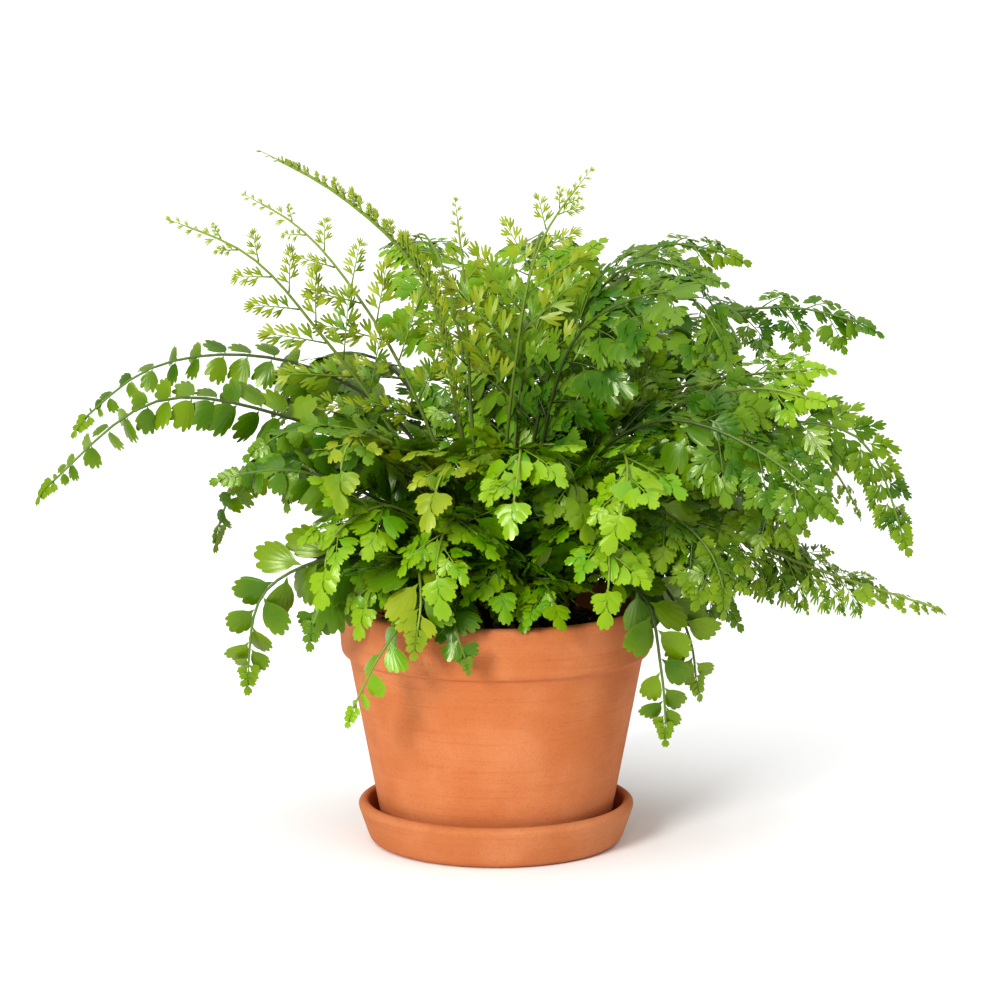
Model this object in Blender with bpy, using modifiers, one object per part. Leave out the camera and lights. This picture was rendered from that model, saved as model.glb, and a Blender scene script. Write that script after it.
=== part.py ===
"""A potted fern at its real size, in metres, +Z up.

The origin is the middle of the saucer's underside. A clay pot stands on the saucer, soil
fills the pot, and every frond stands in a hole of its own in the soil. A frond is one thin
sheet, cut to its stem between the leaflets and thickened, so it is one body however it bends.
"""

import math
import random
from dataclasses import dataclass

import bmesh
import bpy
from mathutils import Matrix, Vector
from mathutils.bvhtree import BVHTree
from mathutils.geometry import interpolate_bezier
from mathutils.kdtree import KDTree

MM = 0.001
UP = Vector((0.0, 0.0, 1.0))
FRONT = Vector((0.0, -1.0, 0.0))
TURN_STEPS = 32
GAP = 0.3 * MM

# Saucer
SAUCER_FLOOR = 5.0 * MM
SAUCER_HEIGHT = 22.0 * MM
SAUCER_BASE_RADIUS = 60.0 * MM
SAUCER_FLOOR_RADIUS = 61.0 * MM
SAUCER_LIP_INNER_RADIUS = 65.0 * MM
SAUCER_LIP_RADIUS = 70.5 * MM

# Pot
POT_BOTTOM = SAUCER_FLOOR + GAP
POT_TOP = 124.0 * MM
POT_BASE_RADIUS = 57.0 * MM
POT_SHOULDER_RADIUS = 75.3 * MM
RIM_BOTTOM = 97.5 * MM
RIM_RADIUS = 80.0 * MM
RIM_LIP = 6.0 * MM
POT_FLOOR_TOP = POT_BOTTOM + 8.0 * MM
POT_FLOOR_RADIUS = 50.0 * MM
DRAIN_RADIUS = 8.0 * MM

# Soil, and the holes that the stems stand in
SOIL_TOP = 112.0 * MM
SOIL_MOUND = 2.0 * MM
HOLE_DEPTH = 9.0 * MM
HOLE_CLEARANCE = 0.45 * MM
CLUMP_RADIUS = 40.0 * MM
HOLE_SPACING = 8.0 * MM
SPREAD_ROUNDS = 150

# Stems and leaflets
STEM_BASE = 2.3 * MM
STEM_TIP = 1.1 * MM
LEAF_THICKNESS = 0.7 * MM
LEAF_ROOT = 3.2 * MM
ROOT_TAPER = 0.35
TIP_SHARE = 0.45
LEAST_LEAF = 6.0 * MM
STEM_SAMPLES = 48
FIXED_SAMPLES = 5
STEM_CLEARANCE = 5.0 * MM
PARTING_ROUNDS = 80
BARE_STATIONS = (0.34, 0.68, 1.0)
LEAF_CLEAR_HALF = 0.75 * MM
ROOT_CLEAR_HALF = 1.3 * MM
STEM_MARGIN = 0.4 * MM
ROOT_REACH = 2.5 * MM

# Ways to move a leaflet that meets another, tried in this order
TRIED_SIZES = (1.0, 0.85, 0.68, 0.52)
TRIED_SWINGS = (0.0, 14.0, -14.0)
TRIED_TILTS = (0.0, -13.0, 13.0, -27.0, 27.0, -42.0, 42.0)

# Leaflet outline: share of its length out from the stem, share of its width towards the tip
LEAF_OUTLINE = ((0.52, 0.52), (1.0, 0.26), (0.80, -0.06), (0.72, -0.54))
LEAF_FACES = ((1, 2, 3), (1, 3, 4), (1, 4, 0), (0, 4, 5))
LEAF_RIM = (0, 1, 2, 3, 4, 5)


@dataclass(frozen=True)
class Kind:
    """How the leaflets of one age of frond are shaped and held, with angles in degrees."""

    name: str
    width: float
    swing_low: float
    swing_high: float
    tilt: float
    droop: float
    cup: float
    taper: float
    colour: tuple
    roughness: float


LIME = Kind("leaf_lime", 0.46, 58.0, 36.0, 8.0, 0.04, 0.05, 0.80, (0.36, 0.52, 0.06), 0.45)
FRESH = Kind("leaf_fresh", 0.74, 64.0, 42.0, -14.0, 0.16, 0.08, 0.62, (0.22, 0.43, 0.03), 0.38)
TRAIL = Kind("leaf_trailing", 0.62, 62.0, 34.0, -14.0, 0.16, 0.08, 0.84, (0.20, 0.38, 0.05), 0.40)
GREEN = Kind("leaf_green", 0.76, 66.0, 44.0, -18.0, 0.20, 0.10, 0.50, (0.09, 0.27, 0.02), 0.34)
DEEP = Kind("leaf_deep", 0.78, 68.0, 46.0, -20.0, 0.22, 0.12, 0.50, (0.035, 0.15, 0.015), 0.30)


@dataclass(frozen=True)
class Frond:
    """One frond: its leaflet pairs, longest leaflet, bare share of stem and route in millimetres.

    face is how far the blade turns its upper side from its own arch towards the front, from 0 to 1.
    """

    kind: Kind
    pairs: int
    leaf: float
    bare: float
    face: float
    route: tuple


FRONDS = (
    # Small sprays that hang over the rim, in front
    Frond(FRESH, 4, 22, 0.45, 0.0, ((-20, -58, 141), (-38, -84, 137), (-55, -94, 116), (-73, -94, 80))),
    Frond(LIME, 4, 38, 0.50, 0.0, ((-34, -56, 154), (-37, -86, 156), (-36, -101, 141), (-41, -104, 112))),
    Frond(DEEP, 3, 18, 0.55, 0.0, ((-14, -60, 139), (-21, -84, 134), (-18, -96, 123), (-12, -97, 106))),
    Frond(GREEN, 5, 25, 0.46, 0.9, ((50, -42, 146), (72, -60, 138), (81, -71, 102), (84, -73, 65))),
    Frond(GREEN, 5, 26, 0.46, 0.8, ((54, -26, 148), (80, -42, 142), (96, -52, 114), (100, -52, 84))),
    Frond(GREEN, 6, 29, 0.40, 0.9, ((-37, -44, 150), (-75, -62, 158), (-112, -69, 142), (-123, -71, 91))),
    Frond(DEEP, 4, 34, 0.46, 0.7, ((-36, -36, 146), (-66, -54, 154), (-86, -64, 138), (-92, -68, 112))),
    # Fresh fronds that arch towards the front
    Frond(FRESH, 4, 38, 0.60, 0.0, ((10, -52, 186), (12, -88, 216), (10, -114, 203), (6, -126, 179))),
    Frond(FRESH, 4, 42, 0.60, 0.0, ((40, -45, 180), (62, -76, 210), (62, -101, 194), (54, -109, 169))),
    Frond(FRESH, 4, 39, 0.55, 0.0, ((32, -42, 160), (48, -78, 178), (54, -103, 164), (52, -113, 133))),
    Frond(LIME, 3, 40, 0.62, 0.0, ((-10, -44, 190), (-20, -82, 210), (-28, -100, 198), (-31, -107, 180))),
    Frond(LIME, 3, 42, 0.62, 0.0, ((-38, -36, 190), (-64, -68, 220), (-73, -88, 212), (-75, -93, 186))),
    Frond(FRESH, 5, 41, 0.46, 0.3, ((-28, -44, 160), (-56, -72, 184), (-78, -90, 172), (-84, -98, 140))),
    Frond(FRESH, 5, 41, 0.46, 0.0, ((-14, -46, 160), (-22, -78, 178), (-28, -98, 164), (-28, -107, 138))),
    Frond(FRESH, 4, 34, 0.45, 0.3, ((-36, -44, 148), (-50, -68, 156), (-60, -84, 146), (-66, -92, 124))),
    Frond(DEEP, 3, 36, 0.45, 0.0, ((-4, -40, 146), (0, -64, 156), (2, -82, 146), (3, -90, 130))),
    Frond(DEEP, 3, 34, 0.45, 0.0, ((14, -42, 138), (22, -64, 146), (28, -80, 138), (30, -88, 126))),
    Frond(GREEN, 4, 41, 0.55, 0.0, ((18, -34, 180), (30, -62, 206), (38, -84, 198), (42, -96, 172))),
    # Left side
    Frond(GREEN, 8, 28, 0.34, 0.6, ((-38, -10, 190), (-99, -20, 219), (-165, -34, 231), (-230, -45, 182))),
    Frond(GREEN, 7, 27, 0.36, 0.5, ((-49, 20, 212), (-98, 25, 241), (-176, 20, 240), (-218, 10, 208))),
    Frond(DEEP, 5, 28, 0.50, 0.6, ((-34, -22, 180), (-67, -35, 208), (-102, -46, 217), (-123, -52, 204))),
    Frond(DEEP, 5, 31, 0.45, 0.7, ((-30, -30, 160), (-60, -46, 184), (-100, -62, 200), (-138, -68, 197))),
    Frond(DEEP, 5, 39, 0.45, 0.4, ((-34, -10, 180), (-68, -26, 208), (-94, -40, 203), (-106, -50, 176))),
    Frond(LIME, 7, 32, 0.42, 0.0, ((-20, -5, 225), (-37, -12, 290), (-80, -20, 333), (-119, -25, 355))),
    Frond(LIME, 6, 42, 0.42, 0.8, ((-34, 12, 210), (-66, 25, 270), (-104, 38, 313), (-136, 45, 330))),
    Frond(LIME, 6, 40, 0.45, 0.8, ((-50, 8, 205), (-88, 10, 258), (-125, 2, 300), (-170, 0, 320))),
    # Middle, upright
    Frond(LIME, 5, 32, 0.55, 0.7, ((-9, 8, 170), (-13, 15, 225), (-16, 20, 283), (-21, 25, 328))),
    Frond(LIME, 5, 52, 0.50, 0.8, ((4, 2, 170), (9, 0, 240), (24, 0, 309), (55, 0, 352))),
    Frond(FRESH, 5, 45, 0.45, 0.5, ((8, 12, 180), (17, 20, 250), (36, 26, 290), (62, 32, 308))),
    # Right side
    Frond(DEEP, 6, 37, 0.42, 0.4, ((18, -4, 200), (36, -8, 262), (72, -17, 298), (118, -25, 286))),
    Frond(GREEN, 6, 33, 0.42, 0.3, ((20, 26, 190), (44, 44, 252), (84, 59, 299), (134, 60, 292))),
    Frond(DEEP, 7, 35, 0.38, 0.5, ((40, 14, 200), (90, 24, 258), (146, 25, 271), (200, 15, 260))),
    Frond(FRESH, 6, 42, 0.40, 0.5, ((36, -4, 190), (84, -9, 231), (130, -18, 242), (173, -25, 246))),
    Frond(FRESH, 5, 39, 0.42, 0.5, ((36, -12, 180), (84, -26, 224), (132, -37, 237), (170, -45, 228))),
    Frond(FRESH, 6, 36, 0.38, 0.4, ((44, 18, 180), (92, 34, 214), (145, 43, 220), (195, 45, 206))),
    Frond(TRAIL, 5, 30, 0.46, 0.5, ((52, 8, 180), (104, 20, 208), (164, 31, 196), (195, 35, 151))),
    Frond(GREEN, 7, 34, 0.42, 0.8, ((46, -16, 176), (101, -31, 212), (178, -47, 214), (204, -57, 155))),
    Frond(DEEP, 6, 42, 0.40, 0.6, ((36, -24, 186), (84, -56, 224), (136, -79, 206), (169, -90, 174))),
    Frond(TRAIL, 8, 38, 0.34, 0.4, ((40, 2, 158), (86, 0, 167), (160, -8, 142), (240, -15, 117))),
    Frond(DEEP, 6, 46, 0.42, 0.5, ((22, -16, 200), (48, -40, 272), (92, -62, 286), (118, -80, 248))),
    Frond(DEEP, 4, 30, 0.46, 0.5, ((40, -8, 144), (76, -15, 150), (104, -21, 140), (122, -27, 114))),
    Frond(GREEN, 5, 39, 0.40, 0.6, ((40, -30, 160), (78, -56, 180), (104, -74, 162), (114, -82, 128))),
    Frond(GREEN, 5, 42, 0.40, 0.5, ((42, -10, 176), (88, -22, 204), (132, -38, 186), (152, -50, 150))),
    Frond(DEEP, 5, 39, 0.38, 0.5, ((46, 8, 156), (96, 12, 170), (142, 8, 152), (166, 2, 126))),
    # Back
    Frond(GREEN, 5, 42, 0.42, 0.0, ((-24, 32, 180), (-58, 76, 236), (-96, 122, 232), (-120, 152, 190))),
    Frond(FRESH, 5, 45, 0.42, 0.0, ((-12, 34, 200), (-26, 80, 280), (-40, 128, 300), (-52, 174, 276))),
    Frond(FRESH, 5, 42, 0.42, 0.0, ((6, 34, 200), (18, 84, 284), (25, 136, 300), (30, 182, 262))),
    Frond(DEEP, 5, 42, 0.42, 0.0, ((26, 30, 186), (58, 78, 248), (94, 120, 252), (124, 146, 214))),
    Frond(DEEP, 4, 44, 0.40, 0.0, ((36, 26, 160), (80, 68, 192), (120, 104, 176), (144, 122, 126))),
    Frond(DEEP, 4, 42, 0.40, 0.0, ((-38, 22, 160), (-88, 60, 196), (-134, 92, 176), (-155, 102, 128))),
    Frond(DEEP, 5, 42, 0.40, 0.0, ((0, 40, 160), (4, 94, 190), (0, 138, 160), (-5, 156, 106))),
    Frond(GREEN, 4, 42, 0.40, 0.0, ((-24, 40, 150), (-50, 86, 172), (-74, 120, 146), (-86, 136, 100))),
    Frond(GREEN, 4, 42, 0.40, 0.0, ((26, 38, 150), (52, 84, 172), (76, 122, 142), (85, 140, 95))),
)


# ---------------------------------------------------------------- scene and materials


def clear_scene():
    """Removes every object and collection that the scene starts with."""
    for obj in list(bpy.data.objects):
        bpy.data.objects.remove(obj)
    for collection in list(bpy.data.collections):
        bpy.data.collections.remove(collection)


def new_collection(name):
    """Adds a collection under the scene's own."""
    collection = bpy.data.collections.new(name)
    bpy.context.scene.collection.children.link(collection)
    return collection


def new_material(name, colour, roughness):
    """Makes a plain Principled material."""
    material = bpy.data.materials.new(name)
    material.use_nodes = True
    shader = material.node_tree.nodes["Principled BSDF"]
    shader.inputs["Base Color"].default_value = (*colour, 1.0)
    shader.inputs["Roughness"].default_value = roughness
    shader.inputs["Metallic"].default_value = 0.0
    return material


def add_object(name, mesh, material, collection):
    """Puts a mesh into the scene as a named object."""
    obj = bpy.data.objects.new(name, mesh)
    if material:
        mesh.materials.append(material)
    collection.objects.link(obj)
    return obj


# ---------------------------------------------------------------- turned pieces


def add_turned(name, profile, ring, material, collection):
    """Turns a profile of (radius, height) points that runs down its outer side round the Z axis."""
    mesh = bpy.data.meshes.new(name)
    ends = [(i, i + 1) for i in range(len(profile) - 1)]
    if ring:
        ends.append((len(profile) - 1, 0))
    mesh.from_pydata([(radius, 0.0, height) for radius, height in profile], ends, [])
    obj = add_object(name, mesh, material, collection)
    screw = obj.modifiers.new("turn", "SCREW")
    screw.steps = TURN_STEPS
    screw.render_steps = TURN_STEPS
    screw.use_merge_vertices = True
    screw.merge_threshold = 0.00001
    screw.use_smooth_shade = True
    return obj


def inner_pot_radius(height):
    """The pot's inside radius at a height, from its floor up to its lip."""
    share = (height - POT_FLOOR_TOP) / (POT_TOP - POT_FLOOR_TOP)
    return POT_FLOOR_RADIUS + share * (RIM_RADIUS - RIM_LIP - POT_FLOOR_RADIUS)


def saucer_profile():
    """A flat floor, a thick round lip and a wall that draws in to the base."""
    return [
        (0.0, SAUCER_FLOOR),
        (SAUCER_FLOOR_RADIUS - 2.0 * MM, SAUCER_FLOOR),
        (SAUCER_FLOOR_RADIUS + 0.8 * MM, SAUCER_FLOOR + 2.4 * MM),
        (SAUCER_LIP_INNER_RADIUS, SAUCER_HEIGHT - 1.6 * MM),
        (SAUCER_LIP_INNER_RADIUS + 1.8 * MM, SAUCER_HEIGHT),
        (SAUCER_LIP_RADIUS - 1.5 * MM, SAUCER_HEIGHT - 0.8 * MM),
        (SAUCER_LIP_RADIUS, SAUCER_HEIGHT - 3.6 * MM),
        (SAUCER_BASE_RADIUS + 5.6 * MM, 4.6 * MM),
        (SAUCER_BASE_RADIUS + 3.6 * MM, 1.2 * MM),
        (SAUCER_BASE_RADIUS, 0.0),
        (0.0, 0.0),
    ]


def pot_profile():
    """A tapered wall under a tall straight rim, with a drain hole through the floor."""
    return [
        (RIM_RADIUS - RIM_LIP + 0.6 * MM, POT_TOP),
        (RIM_RADIUS - 1.4 * MM, POT_TOP),
        (RIM_RADIUS, POT_TOP - 1.6 * MM),
        (RIM_RADIUS - 0.9 * MM, RIM_BOTTOM + 3.4 * MM),
        (RIM_RADIUS - 2.2 * MM, RIM_BOTTOM + 0.8 * MM),
        (POT_SHOULDER_RADIUS, RIM_BOTTOM - 0.6 * MM),
        (POT_BASE_RADIUS + 0.8 * MM, POT_BOTTOM + 2.0 * MM),
        (POT_BASE_RADIUS - 1.2 * MM, POT_BOTTOM),
        (DRAIN_RADIUS, POT_BOTTOM),
        (DRAIN_RADIUS, POT_FLOOR_TOP),
        (POT_FLOOR_RADIUS, POT_FLOOR_TOP),
        (inner_pot_radius(POT_TOP - 1.2 * MM), POT_TOP - 1.2 * MM),
    ]


def soil_profile():
    """A plug that fills the pot to below its rim, a little higher in the middle."""
    edge = SOIL_TOP - SOIL_MOUND
    foot = POT_FLOOR_TOP + GAP
    return [
        (0.0, SOIL_TOP),
        (CLUMP_RADIUS + 6.0 * MM, SOIL_TOP),
        (inner_pot_radius(edge) - 2.0 * GAP, edge),
        (inner_pot_radius(foot) - 2.0 * GAP, foot),
        (0.0, foot),
    ]


# ---------------------------------------------------------------- stems


def spread_holes(fronds):
    """A hole for each frond on its own side of the clump, upright ones inside, moved evenly apart."""
    holes = []
    for frond in fronds:
        first = Vector(frond.route[0]) * MM
        tip = Vector(frond.route[-1]) * MM
        lean = math.atan2(tip.xy.length, max(tip.z - SOIL_TOP, 1.0 * MM)) / (0.5 * math.pi)
        holes.append(first.xy.normalized() * CLUMP_RADIUS * lean)
    for _ in range(SPREAD_ROUNDS):
        for i, hole in enumerate(holes):
            for other in holes[:i] + holes[i + 1 :]:
                away = hole - other
                if away.length < HOLE_SPACING:
                    hole += away.normalized() * (HOLE_SPACING - away.length) * 0.4
            if hole.length > CLUMP_RADIUS:
                hole *= CLUMP_RADIUS / hole.length
    return [Vector((hole.x, hole.y, SOIL_TOP)) for hole in holes]


def spaced_points(points, count):
    """The same polyline as evenly spaced points."""
    lengths = [0.0]
    for a, b in zip(points, points[1:]):
        lengths.append(lengths[-1] + (b - a).length)
    spaced = []
    at = 0
    for i in range(count):
        wanted = lengths[-1] * i / (count - 1)
        while at < len(points) - 2 and lengths[at + 1] < wanted:
            at += 1
        share = (wanted - lengths[at]) / (lengths[at + 1] - lengths[at])
        spaced.append(points[at].lerp(points[at + 1], share))
    return spaced


def stem_path(hole, frond):
    """A smooth path that leaves the hole upright and passes through the frond's route."""
    knots = [hole] + [Vector(point) * MM for point in frond.route]
    spans = [(b - a).length for a, b in zip(knots, knots[1:])]
    ways = [(b - a) / span for a, b, span in zip(knots, knots[1:], spans)]
    slopes = [UP]
    for i in range(1, len(ways)):
        slopes.append((ways[i - 1] * spans[i] + ways[i] * spans[i - 1]) / (spans[i - 1] + spans[i]))
    slopes.append(ways[-1])
    points = [knots[0]]
    for i, span in enumerate(spans):
        start = knots[i] + slopes[i] * span / 3.0
        end = knots[i + 1] - slopes[i + 1] * span / 3.0
        points += interpolate_bezier(knots[i], start, end, knots[i + 1], STEM_SAMPLES)[1:]
    spare = TIP_SHARE * frond.leaf * MM
    while (points[-1] - points[-2]).length < spare:
        spare -= (points[-1] - points[-2]).length
        points.pop()
    return spaced_points(points, STEM_SAMPLES)


def part_stems(paths):
    """Bends stems that pass too close to each other clear, a little each round."""
    for _ in range(PARTING_ROUNDS):
        tree = KDTree(len(paths) * STEM_SAMPLES)
        for f, path in enumerate(paths):
            for s, point in enumerate(path):
                tree.insert(point, f * STEM_SAMPLES + s)
        tree.balance()
        for f, path in enumerate(paths):
            pushes = [Vector() for _ in path]
            for s in range(FIXED_SAMPLES, STEM_SAMPLES):
                for near, index, distance in tree.find_range(path[s], STEM_CLEARANCE):
                    if index // STEM_SAMPLES != f:
                        away = (path[s] - near).normalized()
                        pushes[s] += away * (STEM_CLEARANCE - distance) * 0.3
            for s in range(FIXED_SAMPLES, STEM_SAMPLES):
                window = pushes[max(s - 3, 0) : s + 4]
                path[s] += sum(window, Vector()) / len(window)
    return [spaced_points(path, STEM_SAMPLES) for path in paths]


class Stem:
    """A stem's path with a side and a normal at each sample, turned along without twisting."""

    def __init__(self, path, frond):
        self.path = path
        self.length = sum((b - a).length for a, b in zip(path, path[1:]))
        self.ways = []
        for i in range(len(path)):
            step = path[min(i + 1, len(path) - 1)] - path[max(i - 1, 0)]
            self.ways.append(step.normalized())
        self.ways[0] = UP.copy()
        heading = (path[2 * len(path) // 3] - path[0]).xy.normalized()
        side = Vector((-heading.y, heading.x, 0.0))
        self.sides = []
        for i, way in enumerate(self.ways):
            side = (side - way * side.dot(way)).normalized()
            turned = min(1.0, i / (frond.bare * len(path))) * frond.face
            self.sides.append(self.facing_side(way, side, turned))

    @staticmethod
    def facing_side(way, side, turned):
        """The side after the blade turns about its stem, so that its upper face looks more to the front."""
        normal = way.cross(side)
        wanted = FRONT - way * FRONT.dot(way)
        angle = math.atan2(normal.cross(wanted).dot(way), normal.dot(wanted))
        return Matrix.Rotation(angle * turned * wanted.length, 3, way) @ side

    def frame(self, share):
        """Point, way along, side and upper normal at a share of the stem's length."""
        at = min(max(share, 0.0), 1.0) * (len(self.path) - 1)
        i = min(int(at), len(self.path) - 2)
        point = self.path[i].lerp(self.path[i + 1], at - i)
        way = self.ways[i].lerp(self.ways[i + 1], at - i).normalized()
        side = self.sides[i].lerp(self.sides[i + 1], at - i)
        side = (side - way * side.dot(way)).normalized()
        return point, way, side, way.cross(side)

    def width(self, share):
        """The stem's width at a share of its length."""
        return STEM_BASE + (STEM_TIP - STEM_BASE) * share


# ---------------------------------------------------------------- leaflets


@dataclass
class Place:
    """A leaflet's place on its stem: the shares where its root starts and ends, and its side."""

    low: float
    high: float
    hand: int
    length: float


def blade_profile(share, taper):
    """Leaflet length along the blade, from its foot (0) to its tip (1), as a share of the longest."""
    return min(1.0, 0.72 + 1.4 * share) * (1.0 - taper * share**1.5)


def leaflet_places(frond, stem):
    """Alternate places up both sides of the blade, as pairs of roots on the left and right."""
    spacing = (1.0 - frond.bare) / (frond.pairs + 0.35)
    root = LEAF_ROOT / stem.length
    places = []
    for i in range(frond.pairs):
        for hand, shift in ((1, 0.0), (-1, 0.45)):
            middle = frond.bare + spacing * (i + 0.1 + shift)
            share = (middle - frond.bare) / (1.0 - frond.bare)
            length = max(frond.leaf * MM * blade_profile(share, frond.kind.taper), LEAST_LEAF)
            width = root * (1.0 - ROOT_TAPER * share)
            places.append(Place(middle - width / 2.0, middle + width / 2.0, hand, length))
    return places


def station_shares(frond, places):
    """Shares along the left and the right edge where the stem's strip has its corners."""
    left = [0.0] + [frond.bare * share - 0.02 for share in BARE_STATIONS]
    right = list(left)
    for place in places:
        edge = left if place.hand > 0 else right
        edge.extend((place.low, place.high))
    return left + [1.0], right + [1.0]


def edge_point(stem, share, hand):
    """A point on one edge of the stem."""
    point, _, side, _ = stem.frame(share)
    return point + side * hand * stem.width(share) / 2.0


def leaflet_points(stem, kind, place, swing, tilt, size):
    """The six corners of a leaflet: its two root corners, then its outline, bent and cupped."""
    near = edge_point(stem, place.low, place.hand)
    far = edge_point(stem, place.high, place.hand)
    _, way, side, normal = stem.frame((place.low + place.high) / 2.0)
    lift = math.radians(tilt)
    out = side * place.hand * math.cos(lift) + normal * math.sin(lift)
    turn = math.radians(swing)
    axis = (way * math.cos(turn) + out * math.sin(turn)).normalized()
    upper = (normal - axis * normal.dot(axis)).normalized()
    across = upper.cross(axis) * place.hand
    across *= 1.0 if across.dot(way) > 0.0 else -1.0
    length = place.length * size
    width = length * kind.width
    points = [near, far]
    for along, over in LEAF_OUTLINE:
        point = (near + far) / 2.0 + axis * length * along + across * width * over
        point -= upper * width * kind.cup * abs(over) * 2.0
        point -= UP * length * kind.droop * along * along
        points.append(point)
    return points


def terminal_points(stem, kind, length):
    """The leaflet that ends the stem, on its last two edge points."""
    point, way, side, normal = stem.frame(1.0)
    half = stem.width(1.0) / 2.0
    points = [point - side * half, point + side * half]
    width = length * kind.width
    for along, over in LEAF_OUTLINE:
        bend = normal * width * kind.cup * abs(over)
        points.append(point + way * length * along + side * width * over - bend)
    return points


def leaflet_solid(points, root_half):
    """A tree for the leaflet as a thick plate with all the clearance that it needs round it."""
    a, b, c = points[0], points[1], points[4]
    normal = (b - a).cross(c - a).normalized()
    middle = sum(points, Vector()) / len(points)
    halves = [root_half, root_half] + [LEAF_CLEAR_HALF] * len(LEAF_OUTLINE)
    grown = [point + (point - middle).normalized() * LEAF_CLEAR_HALF for point in points]
    corners = [point + normal * half for point, half in zip(grown, halves)]
    corners += [point - normal * half for point, half in zip(grown, halves)]
    count = len(points)
    faces = list(LEAF_FACES) + [tuple(i + count for i in face) for face in LEAF_FACES]
    for i, start in enumerate(LEAF_RIM):
        end = LEAF_RIM[(i + 1) % count]
        faces.append((start, end, end + count, start + count))
    return BVHTree.FromPolygons(corners, faces)


def outer_solid(points):
    """A tree for the leaflet without its root, to try against its own stem."""
    middle = sum(points, Vector()) / len(points)
    roots = [point + (middle - point).normalized() * ROOT_REACH for point in points[:2]]
    return leaflet_solid(roots + points[2:], LEAF_CLEAR_HALF)


def stem_solid(stem, left_shares, right_shares):
    """A tree for the stem's strip as it will be built, as a square tube with its clearance round it."""
    corners = []
    faces = []
    for left, right in zip(left_shares, right_shares):
        for share, over, high in ((left, 1, 1), (left, 1, -1), (right, -1, -1), (right, -1, 1)):
            point, _, side, normal = stem.frame(share)
            half = stem.width(share) / 2.0 + STEM_MARGIN
            corners.append(point + side * half * over + normal * half * high)
    for low in range(0, len(corners) - 4, 4):
        for corner in range(4):
            following = (corner + 1) % 4
            faces.append((low + corner, low + following, low + 4 + corner))
            faces.append((low + following, low + 4 + following, low + 4 + corner))
    return BVHTree.FromPolygons(corners, faces)


class Thicket:
    """Everything already placed, by cells of space, so that a new leaflet can be tried against it."""

    CELL = 40.0 * MM

    def __init__(self, stems, fixed):
        self.stems = stems
        self.fixed = fixed
        self.cells = {}

    def cells_of(self, points):
        """The cells that the points' box touches."""
        low = [math.floor(min(point[k] for point in points) / self.CELL) for k in range(3)]
        high = [math.floor(max(point[k] for point in points) / self.CELL) for k in range(3)]
        spans = [range(low[k], high[k] + 1) for k in range(3)]
        return [(x, y, z) for x in spans[0] for y in spans[1] for z in spans[2]]

    def add(self, points, tree):
        """Records a placed leaflet."""
        for cell in self.cells_of(points):
            self.cells.setdefault(cell, []).append(tree)

    def is_clear(self, points, tree, owner):
        """Whether a leaflet meets no placed leaflet, no stem past its own root and no fixed piece."""
        if outer_solid(points).overlap(self.stems[owner]):
            return False
        others = []
        for cell in self.cells_of(points):
            others += self.cells.get(cell, [])
        others += self.stems[:owner] + self.stems[owner + 1 :] + self.fixed
        return not any(tree.overlap(other) for other in others)


def place_leaflet(stem, kind, place, draw, thicket, owner):
    """The first way of holding the leaflet that keeps it clear of the rest, or None."""
    share = place.low
    swing = kind.swing_low + (kind.swing_high - kind.swing_low) * share + draw.uniform(-6.0, 6.0)
    tilt = kind.tilt + draw.uniform(-9.0, 9.0)
    for size in TRIED_SIZES:
        for more_swing in TRIED_SWINGS:
            for more_tilt in TRIED_TILTS:
                points = leaflet_points(stem, kind, place, swing + more_swing, tilt + more_tilt, size)
                tree = leaflet_solid(points, ROOT_CLEAR_HALF)
                if thicket.is_clear(points, tree, owner):
                    thicket.add(points, tree)
                    return points
    return None


# ---------------------------------------------------------------- frond bodies


def build_frond(name, stem, shares, leaflets, tip_points, material, collection):
    """Makes a frond: a strip for its stem, leaflets cut to it, and thickness by Solidify."""
    body = bmesh.new()
    weights = body.verts.layers.deform.verify()

    def add_vertex(point, thickness):
        vertex = body.verts.new(point)
        vertex[weights][0] = thickness / STEM_BASE
        return vertex

    def add_leaflet(near, far, points):
        corners = [near, far] + [add_vertex(point, LEAF_THICKNESS) for point in points[2:]]
        for face in LEAF_FACES:
            body.faces.new([corners[i] for i in face])

    left_shares, right_shares = shares
    foot = UP * (HOLE_DEPTH - GAP)
    left = [add_vertex(edge_point(stem, 0.0, 1) - foot, STEM_BASE)]
    right = [add_vertex(edge_point(stem, 0.0, -1) - foot, STEM_BASE)]
    left += [add_vertex(edge_point(stem, share, 1), stem.width(share)) for share in left_shares]
    right += [add_vertex(edge_point(stem, share, -1), stem.width(share)) for share in right_shares]
    for i in range(len(left) - 1):
        body.faces.new((left[i], right[i], left[i + 1]))
        body.faces.new((right[i], right[i + 1], left[i + 1]))
    for place, points in leaflets:
        if points:
            edge, edge_shares = (left, left_shares) if place.hand > 0 else (right, right_shares)
            at = 1 + edge_shares.index(place.low)
            add_leaflet(edge[at], edge[at + 1], points)
    if tip_points:
        add_leaflet(right[-1], left[-1], tip_points)
    bmesh.ops.recalc_face_normals(body, faces=body.faces[:])
    mesh = bpy.data.meshes.new(name)
    body.to_mesh(mesh)
    body.free()
    obj = add_object(name, mesh, material, collection)
    obj.vertex_groups.new(name="thickness")
    solid = obj.modifiers.new("thickness", "SOLIDIFY")
    solid.thickness = STEM_BASE
    solid.offset = 0.0
    solid.vertex_group = "thickness"
    return obj


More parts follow.
